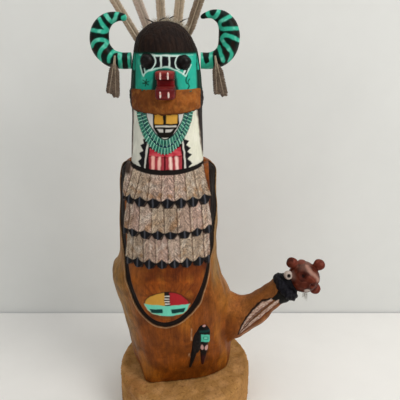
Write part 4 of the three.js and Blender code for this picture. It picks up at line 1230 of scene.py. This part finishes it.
def feather(length, wide, bare, seed, tones, bow=0.00035, splits=3, pitch=0.42):
    """A real feather along +Z from the end of its quill: barbs set closely along a bowed quill."""
    draw = np.random.default_rng(seed)
    quill_z = np.linspace(0, length, 40)
    quill = tube(np.stack([np.zeros(40), bow * quill_z**2 - 0.15, quill_z], 1),
                 0.62 * (1 - 0.85 * quill_z / length) + 0.05, 8)
    shapes, colours = [quill], [np.tile([*srgb(tones[2]), 1.0], (len(quill[0]), 1))]
    foot_z = np.arange(bare, length - 0.5, pitch)
    t = (foot_z - bare) / (length - bare)
    for side in (-1, 1):
        half = wide / 2 * np.minimum(1, 6 * (t + 0.03)) ** 0.7 * np.clip((1.03 - t) / 0.2, 0, 1) ** 0.5
        half = half * (1 if side > 0 else 0.86) * (1 + 0.02 * draw.normal(size=len(t)))
        lean = np.radians(52 + 8 * t + 1.2 * draw.normal(size=len(t)))
        for gap in draw.uniform(0.15, 0.95, splits):
            lean = lean + np.radians(9) * bell(t - gap, 0.03) * np.sign(t - gap)
        run = half / np.maximum(np.sin(lean), 0.3)
        up = np.minimum(run * np.cos(lean), length - foot_z)
        foot = np.stack([np.zeros(len(t)), bow * foot_z**2, foot_z], 1)
        end_z = foot_z + up
        end = np.stack([side * half, bow * end_z**2 + 0.5 * (half / wide) + 0.12 * draw.normal(size=len(t)),
                        end_z], 1)
        middle = foot + (end - foot) * [0.8, 0.66, 0.76] + [0, -0.12, 0]
        shapes.append(slivers(foot, middle, end, 0.62, 0.5))
        shade = mixed(tones[0], tones[1],
                      np.clip(draw.uniform(0, 1, len(t)) * 0.6 + (0.4 if side > 0 else 0), 0, 1))
        shade = np.repeat(shade, SLIVER_POINTS, 0)
        colours.append(np.column_stack([shade, np.ones(len(shade))]))
    points, faces = joined(shapes)
    return points, faces, np.concatenate(colours)


def turned(points, about_y, about_x=0.0):
    c, s = math.cos(about_x), math.sin(about_x)
    points = points @ np.array([[1, 0, 0], [0, c, s], [0, -s, c]])
    c, s = math.cos(about_y), math.sin(about_y)
    return points @ np.array([[c, 0, -s], [0, 1, 0], [s, 0, c]])


CROWN = [  # foot x, y, z, lean in degrees, tip height, width, tones of the two vanes and the quill
    (-26.6, 22.5, 345, -31.5, 417.2, 8.4, ("#a8917a", "#cdb8a0", "#d2c2ab")),
    (-21.5, 24.8, 353, -20.5, 436, 9.2, ("#b39c8c", "#d6c5b6", "#c4b3a2")),
    (-15, 25.6, 355, -2.8, 446, 8.8, ("#b6a28b", "#cfbda6", "#ab977e")),
    (-5, 25.4, 355, 7.5, 443, 9.4, ("#bca78d", "#d2bfa6", "#c2ae95")),
    (1.8, 24.2, 352, 20, 430, 9.4, ("#7c6753", "#a3907a", "#a4927b"))]


def crown_feathers(finish):
    for k, (x, y, z, lean, tip, wide, tones) in enumerate(CROWN):
        lean = math.radians(lean)
        length = (tip - z) / math.cos(lean) - 1.2
        points, faces, coat = feather(length, wide, 5, 200 + k, tones)
        points = turned(points, lean, -0.02) + [x, y, z]
        piece(f"crown_feather_{k + 1}_barbs", (points, faces), finish, coat, f"crown_feather_{k + 1}")


def crown_down(finish):
    """Soft beige down behind the top of the head, and a few stiff dark bristles."""
    draw = np.random.default_rng(5)
    count = 700
    x = draw.uniform(-27, 5, count)
    foot = np.stack([x, draw.uniform(15, 23, count),
                     372.4 - 0.034 * (x - HEAD_X) ** 2 + draw.uniform(-2, 1.4, count)], 1)
    way = np.stack([0.045 * (x - HEAD_X) + 0.5 * draw.normal(size=count), 0.3 * draw.normal(size=count),
                    draw.uniform(0.5, 1.3, count)], 1)
    tip = foot + way * draw.uniform(2.5, 6.5, (count, 1))
    middle = (foot + tip) / 2 + draw.normal(size=(count, 3)) * 0.6
    down = slivers(foot, middle, tip, 0.34)
    tone = np.repeat(mixed("#8f8069", "#c3b8a2", draw.uniform(0, 1, count)), SLIVER_POINTS, 0)
    bristles = np.array([[(-20, 14, 369.6), (-24, 12, 372.4), (-28.6, 10, 374.2)],
                         [(-20.4, 13, 370.6), (-23, 12, 371.8), (-26, 10, 371.9)],
                         [(-8, 15, 373.6), (-5.2, 14, 375), (-2.6, 13, 375.4)],
                         [(0.6, 13, 370.8), (4.2, 11, 372.6), (8.2, 9, 373.6)],
                         [(-16, 14, 372), (-12, 13, 373.8), (-7, 12, 374)]])
    stiff = slivers(bristles[:, 0], bristles[:, 1], bristles[:, 2], 0.95)
    stiff = (stiff[0] + [0, -6, 2.2], stiff[1])
    points, faces = joined([down, stiff])
    rgb = np.concatenate([tone, np.tile(srgb("#2f241b"), (len(stiff[0]), 1))])
    piece("crown_down", (points, faces), finish, np.column_stack([rgb, np.ones(len(rgb))]))


def hanging_feathers(finish, side):
    """Two small brown feathers on one quill, tied to the horn, with a stray barb or two."""
    tie = np.array([HEAD_X + side * 39.4, -9.4, 348])
    turn = 0.12 if side < 0 else -0.16
    tones = ("#54453a", "#83705e", "#a3937e")
    shapes, coats = [], []
    for length, wide, part, seed in ((32.5, 7.4, 0.08, 1), (30, 7, -0.1, 2)):
        points, faces, coat = feather(length, wide, 6, 300 + seed + side, tones, splits=4, pitch=0.4)
        shapes.append((turned(points, part) * [1, -1, -1], faces))
        coats.append(coat)
    draw = np.random.default_rng(9 + side)
    count = 26  # stray barbs
    foot = np.stack([draw.uniform(-1, 1, count), draw.uniform(-0.6, 0.6, count),
                     -draw.uniform(5, 18, count)], 1)
    way = np.stack([draw.uniform(-5.6, 5.6, count), draw.uniform(-1.5, 1, count),
                    -draw.uniform(-1, 5, count)], 1)
    shapes.append(slivers(foot, foot + way * 0.5 + [0, 0, -0.5], foot + way, 0.28))
    coats.append(np.tile([*srgb("#6d5a48"), 1.0], (count * SLIVER_POINTS, 1)))
    points, faces = joined(shapes)
    name = "horn_feathers_right" if side > 0 else "horn_feathers_left"
    piece(f"{name}_barbs", (turned(points, turn) + tie, faces), finish, np.concatenate(coats), name)


# ---------------------------------------------------------------- small carvings

def small_figure(finish):
    """The little masked figure in low relief at the lower right of the trunk."""
    def on(x, z, proud):
        y = float(front_of(BODY, x, z))
        return x, y + proud - float(knots(np.array([(x, y, z)]))[0]), z

    hair = [pebble(on(18, 103, 0.6), (8.2, 3.4, 9)), pebble(on(13.4, 94, 0.8), (4.4, 3, 13))]
    lock = [tube(np.array([on(x, z, -0.1) for x, z in drawn([(13.6, 96), (11.6, 86), (9.4, 74), (6.9, 62)])]),
                 np.linspace(4.2, 1.1, 19), 12, 0.7)]
    face = [pebble(on(21.6, 98.4, -0.6), (4.2, 2.8, 5.4), 0.35)]
    skirt = [tube(np.array([on(x, z, -0.1) for x,
                            z in drawn([(20, 94), (19.8, 86), (19.4, 75), (19, 64.4)])]),
                  np.array([4.4] * 7 + list(np.linspace(4.4, 1.1, 12))), 12, 0.6)]
    points, faces = carved_as_one(hair + lock + face + skirt, 0.5, 3)
    coat = Coat(points, mottled(points, "#0c0908", "#191110", 4, 111, -1, 1), 1)
    coat.lay("#30100f", smooth(coat.at[:, 1], 80, 74) * (coat.at[:, 0] > 14.6))
    coat.fill("#58bfa6", [(17.6, 103.2), (25.7, 101.6), (25.8, 93), (17.8, 94.2)])
    coat.fill("#2b8a74", [(19.3, 100.8), (24.4, 99.8), (24.4, 96.4), (19.4, 97)])
    coat.fill("#7fd4bd", [(20.4, 99.6), (23.4, 99), (23.4, 97.4), (20.4, 97.8)])
    for x, z in ((18.5, 87.2), (22.8, 86.4)):
        far = np.hypot((coat.at[:, 0] - x) / 1.55, (coat.at[:, 1] - z) / 3.4)
        coat.lay("#c79a93", smooth(far, 1.1, 0.85))
    # painted highlight on the top of the figure's head
    coat.lay("#c79a93", 0.8 * smooth(np.hypot((coat.at[:, 0] - 20.3) / 1.8, coat.at[:, 1] - 111), 1.0, 0.6))
    coat.lay("#0c3b38", smooth(np.abs(coat.at[:, 1] - 106), 1.4, 0.6) * (coat.at[:, 0] > 16) * 0.7)
    piece("small_figure", (points, faces), finish, coat)


BALL = (115.9, 0.0, 145.8, 14.8)  # the mudhead's middle and radius


def mudhead(finish, cloth, wisps):
    """The mudhead on the branch's end: a clay-brown ball with knobs, and a black kerchief at its neck."""
    x, y, z, radius = BALL
    lumps = [pebble((x, y, z), (radius, radius, radius), 1, 0, 40, 56)]
    for over, up, size in ((-12.2, 15.2, 5.3), (13.6, 12.8, 5.5), (12, -12.8, 5.2)):
        lumps.append(pebble((x + over, y, z + up), (size, size, size)))
        lumps.append(pebble((x + 0.72 * over, y, z + 0.72 * up), (3.6, 3.6, 3.6)))
    lumps.append(pebble((x + 2, y + radius + 1, z + 4), (4.8, 4.8, 4.8)))
    lumps.append(pebble((x - radius - 1.2, y - 5, z + 4.2), (3.9, 4, 4.1)))
    lumps.append(pebble((x - 2.5, y + 1, z + radius - 0.6), (4.6, 5, 2.6)))
    points, faces = carved_as_one(lumps, 0.55, 4)
    flat = points[:, [0, 2]]
    front = points[:, 1] < -3
    hole = lambda place, size: smooth(from_spot(flat, place), size, size * 0.4) * front
    ring = from_spot(flat, (x - 3.6, z + 7.6))
    shape = 0.8 * bell(ring - 4, 1.2) - 1.6 * smooth(ring, 2.6, 1.2)
    second = from_spot(flat, (x + 4.8, z - 1.2))
    shape += 0.5 * bell(second - 3.2, 1) - 1.2 * smooth(second, 2, 0.8)
    ear = from_spot(flat, (x - radius - 1.2, z + 5.4))
    shape += 0.5 * bell(ear - 2.8, 0.8) - 1.5 * smooth(ear, 1.9, 1.2)
    normal = normals_of(points, faces)
    points = pushed(points, normal, shape * front + 0.16 * ripple(points, 6, 121))
    coat = Coat(points, mottled(points, "#572314", "#3e150b", 9, 122, -0.6, 1.4), 0.8)
    coat.where = front
    coat.lay("#7c3f30", 0.5 * smooth(ripple(points, 7, 123), 0.3, 1.8))
    coat.lay("#7a5c50", 0.55 * smooth(points[:, 2], z + 9, z + 15) * smooth(np.abs(points[:, 0] - x + 2), 9,
                                                                            5))
    # painted shade in the holes: dark round the first hole's inner rim and deep inside both holes
    coat.lay("#3a120b", 0.75 * bell(ring - 2.6, 0.9) * front)
    coat.lay("#1a0806", hole((x - 3.6, z + 7.6), 2.3))
    coat.lay("#3f1510", 0.8 * hole((x + 4.8, z - 1.2), 2.6))
    coat.stroke("#a87f70", drawn([(x + 0.8, z + 14), (x + 3.6, z + 10.6), (x + 8.4, z + 6.4),
                                  (x + 12, z + 1)]),
                2.8, 1.8, share=0.85)
    coat.lay("#7c6057", 0.7 * smooth(ear, 8, 3.5) * front)
    coat.lay("#c2b5ab", 0.85 * smooth(np.abs(ear - 2.9), 1.6, 0.7) * front * (points[:, 0] < 103))
    coat.fill("#c4b6ae", drawn([(x - 1.6, z - 6.8), (x + 1, z - 5.2), (x + 4, z - 6.8), (x + 3.4, z - 9.6),
                                (x, z - 10.4)], closed=True), 1.2, share=0.9)
    knob = (from_spot(points, (x, y, z)) > radius + 1.2) & (points[:, 0] > x - radius + 3)
    coat.lay("#6d2f22", 0.6 * knob)
    coat.lay("#8c4c3e", 0.4 * knob * smooth(ripple(points, 5, 124), 0.2, 1.4))
    # painted shade deep in the ear's hole
    coat.lay("#0d0b0b", smooth(ear, 2.1, 1.6) * front)
    piece("mudhead", (points, faces), finish, coat)
    # the kerchief, wound round the neck
    turn = np.linspace(0, 2 * math.pi, 60, endpoint=False)
    centre, across = np.array([99.2, 0, 135.2]), np.array([0.72, 0, -0.69])
    loop = centre + 10 * np.cos(turn)[:, None] * across + 12.5 * np.sin(turn)[:, None] * [0, 1, 0]
    bands = [pebble(p, (4.9 + 0.4 * math.sin(5 * a), 3.8, 4.9), 1, 0, 10, 12) for p, a in zip(loop, turn)]
    points, faces = carved_as_one(bands, 0.7, 5)
    normal = normals_of(points, faces)
    folds = 0.3 * ripple(points @ np.array([[0.7, 0, 0], [0, 0.3, 0], [0, 0, 0.7]]), 3.4, 125)
    points = pushed(points, normal, folds)
    coat = Coat(points, mottled(points, "#0d0c12", "#1a1920", 4, 126, -0.6, 1.4), 1)
    piece("black_kerchief", (points, faces), cloth, coat)
    draw = np.random.default_rng(12)
    count = 14
    foot = np.array([x - 0.8, -13, z - 9.4]) + draw.normal(size=(count, 3)) * [1.2, 0.6, 0.6]
    way = np.stack([draw.uniform(-4, 2, count), draw.uniform(-3, 0, count), -draw.uniform(4, 9, count)], 1)
    points, faces = slivers(foot, foot + 0.5 * way + draw.normal(size=(count, 3)) * 0.4, foot + way, 0.3)
    piece("beard_wisps", (points, faces), wisps, Coat(points, "#8d8478", 1))


SLAB_RADIUS = 68


def slab(finish):
    """The round slab of raw root under the doll, sawn flat above and below, with its rough side."""
    turn = np.linspace(0, 2 * math.pi, 330, endpoint=False)
    wave = 1.2 * (0.6 * np.sin(3 * turn + 0.7) + 0.4 * np.sin(7 * turn + 2))
    # radius and height from the middle of the underside, over the edge, to the middle of the top
    profile = [(r, 0.25) for r in np.linspace(4, 65, 16)] + [(66.6, 0.7), (67.6, 1.6)]
    profile += [(67.9 - 0.01 * h, h) for h in np.linspace(2.6, 38.5, 34)]
    profile += [(67 - 0.4 * k, 38.9 + 0.72 * k) for k in range(1, 4)] + [(64.6, 41.6)]
    profile += [(r, 41.75) for r in np.linspace(63.4, 2, 54)]
    rings = [(r + wave * min(r / SLAB_RADIUS, 1), h) for r, h in profile]
    grid = np.stack([np.stack([r * np.cos(turn), r * np.sin(turn), np.full(turn.shape, h)], 1)
                     for r, h in rings])
    normal = grid_normals(grid, True).reshape(-1, 3)
    points = grid.reshape(-1, 3)
    rough = 0.2 * ripple(points, 4.6, 131) + 0.25 * ripple(points, 13, 132)
    rough = rough - 0.4 * smooth(ripple(points, 3.8, 133), 1.7, 2.4)
    points = points + normal * np.clip(rough - 0.5, -1.6, -0.12)[:, None]
    points[:, 2] = np.maximum(points[:, 2], 0)
    points, faces = lofted(points.reshape(grid.shape))
    tone = mottled(points, "#a37844", "#b58855", 16, 134, -0.8, 1.4)
    # painted light on the right of the slab's sawn side
    tone = mixed(tone, "#b5844c", 0.7 * smooth(points[:, 0], 20, 64) * smooth(points[:, 2], 41, 37))
    tone = mottled(points, tone, "#86602f", 5, 135, 0.5, 2, 0.4)
    stain = from_spot(points, (-50, -40, 42))
    tone = mixed(tone, "#8a4c28", 0.3 * smooth(stain + 3 * ripple(points, 7, 136), 19, 8))
    piece("raw_slab", (points, faces), finish, Coat(points, tone, 0), "base_slab")


# ---------------------------------------------------------------- table and wall

def plain(name, colour, roughness):
    material, tree, shader, coat, place = new_finish(name, roughness)
    tree.nodes.remove(coat)
    even = add(tree, "RGB")
    even.outputs[0].default_value = (*srgb(colour), 1)
    drift = add(tree, "TexNoise", {"Vector": place, "Scale": 1 / 60, "Detail": 3, "Roughness": 0.6})
    return finished(material, tree, shader, shaded(tree, even, drift, 0.985, 1.015))


def table_and_wall():
    for name, corners, colour in (
            ("table_top", [(-1.6, -1.4, 0), (1.6, -1.4, 0), (1.6, 0.145, 0), (-1.6, 0.145, 0)], "#ecebe8"),
            ("wall", [(-1.6, 0.147, -0.1), (1.6, 0.147, -0.1), (1.6, 0.147, 2), (-1.6, 0.147, 2)],
             "#e6e8e6")):
        mesh = bpy.data.meshes.new(name)
        mesh.from_pydata(corners, [], [(0, 1, 2, 3)])
        mesh.materials.append(plain(f"matt_{name}", colour, 0.8))
        made = bpy.data.objects.new(name, mesh)
        scene.collection.objects.link(made)


set_up_studio()
table_and_wall()
root, plumes = oiled_root(), barbed_root()
paint = brushed_paint("flat_acrylic", 0.5)
trunk(root)
wrap(plumes)
torso(paint)
necklace(brushed_paint("turquoise_acrylic", 0.38))
ruff(fur_ruff())
mask(paint, burnt_hair())
eyes_and_mouth(brushed_paint("eye_and_mouth_acrylic", 0.38, Specular_IOR_Level=0.14))
horn_paint = brushed_paint("horn_acrylic", 0.4)
horn(horn_paint, -1, 7.7, LEFT_LINES)
horn(horn_paint, 1, 8.5, RIGHT_LINES)
pale = dry_feather("pale_crown_feather", 0.2)
crown_feathers(pale)
crown_down(pale)
dark_feather = dry_feather("brown_down_feather", 0.12)
hanging_feathers(dark_feather, -1)
hanging_feathers(dark_feather, 1)
small_figure(brushed_paint("relief_acrylic", 0.45))
mudhead(brushed_paint("clay_wash", 0.5), brushed_paint("black_cloth_acrylic", 0.6), pale)
slab(raw_root())
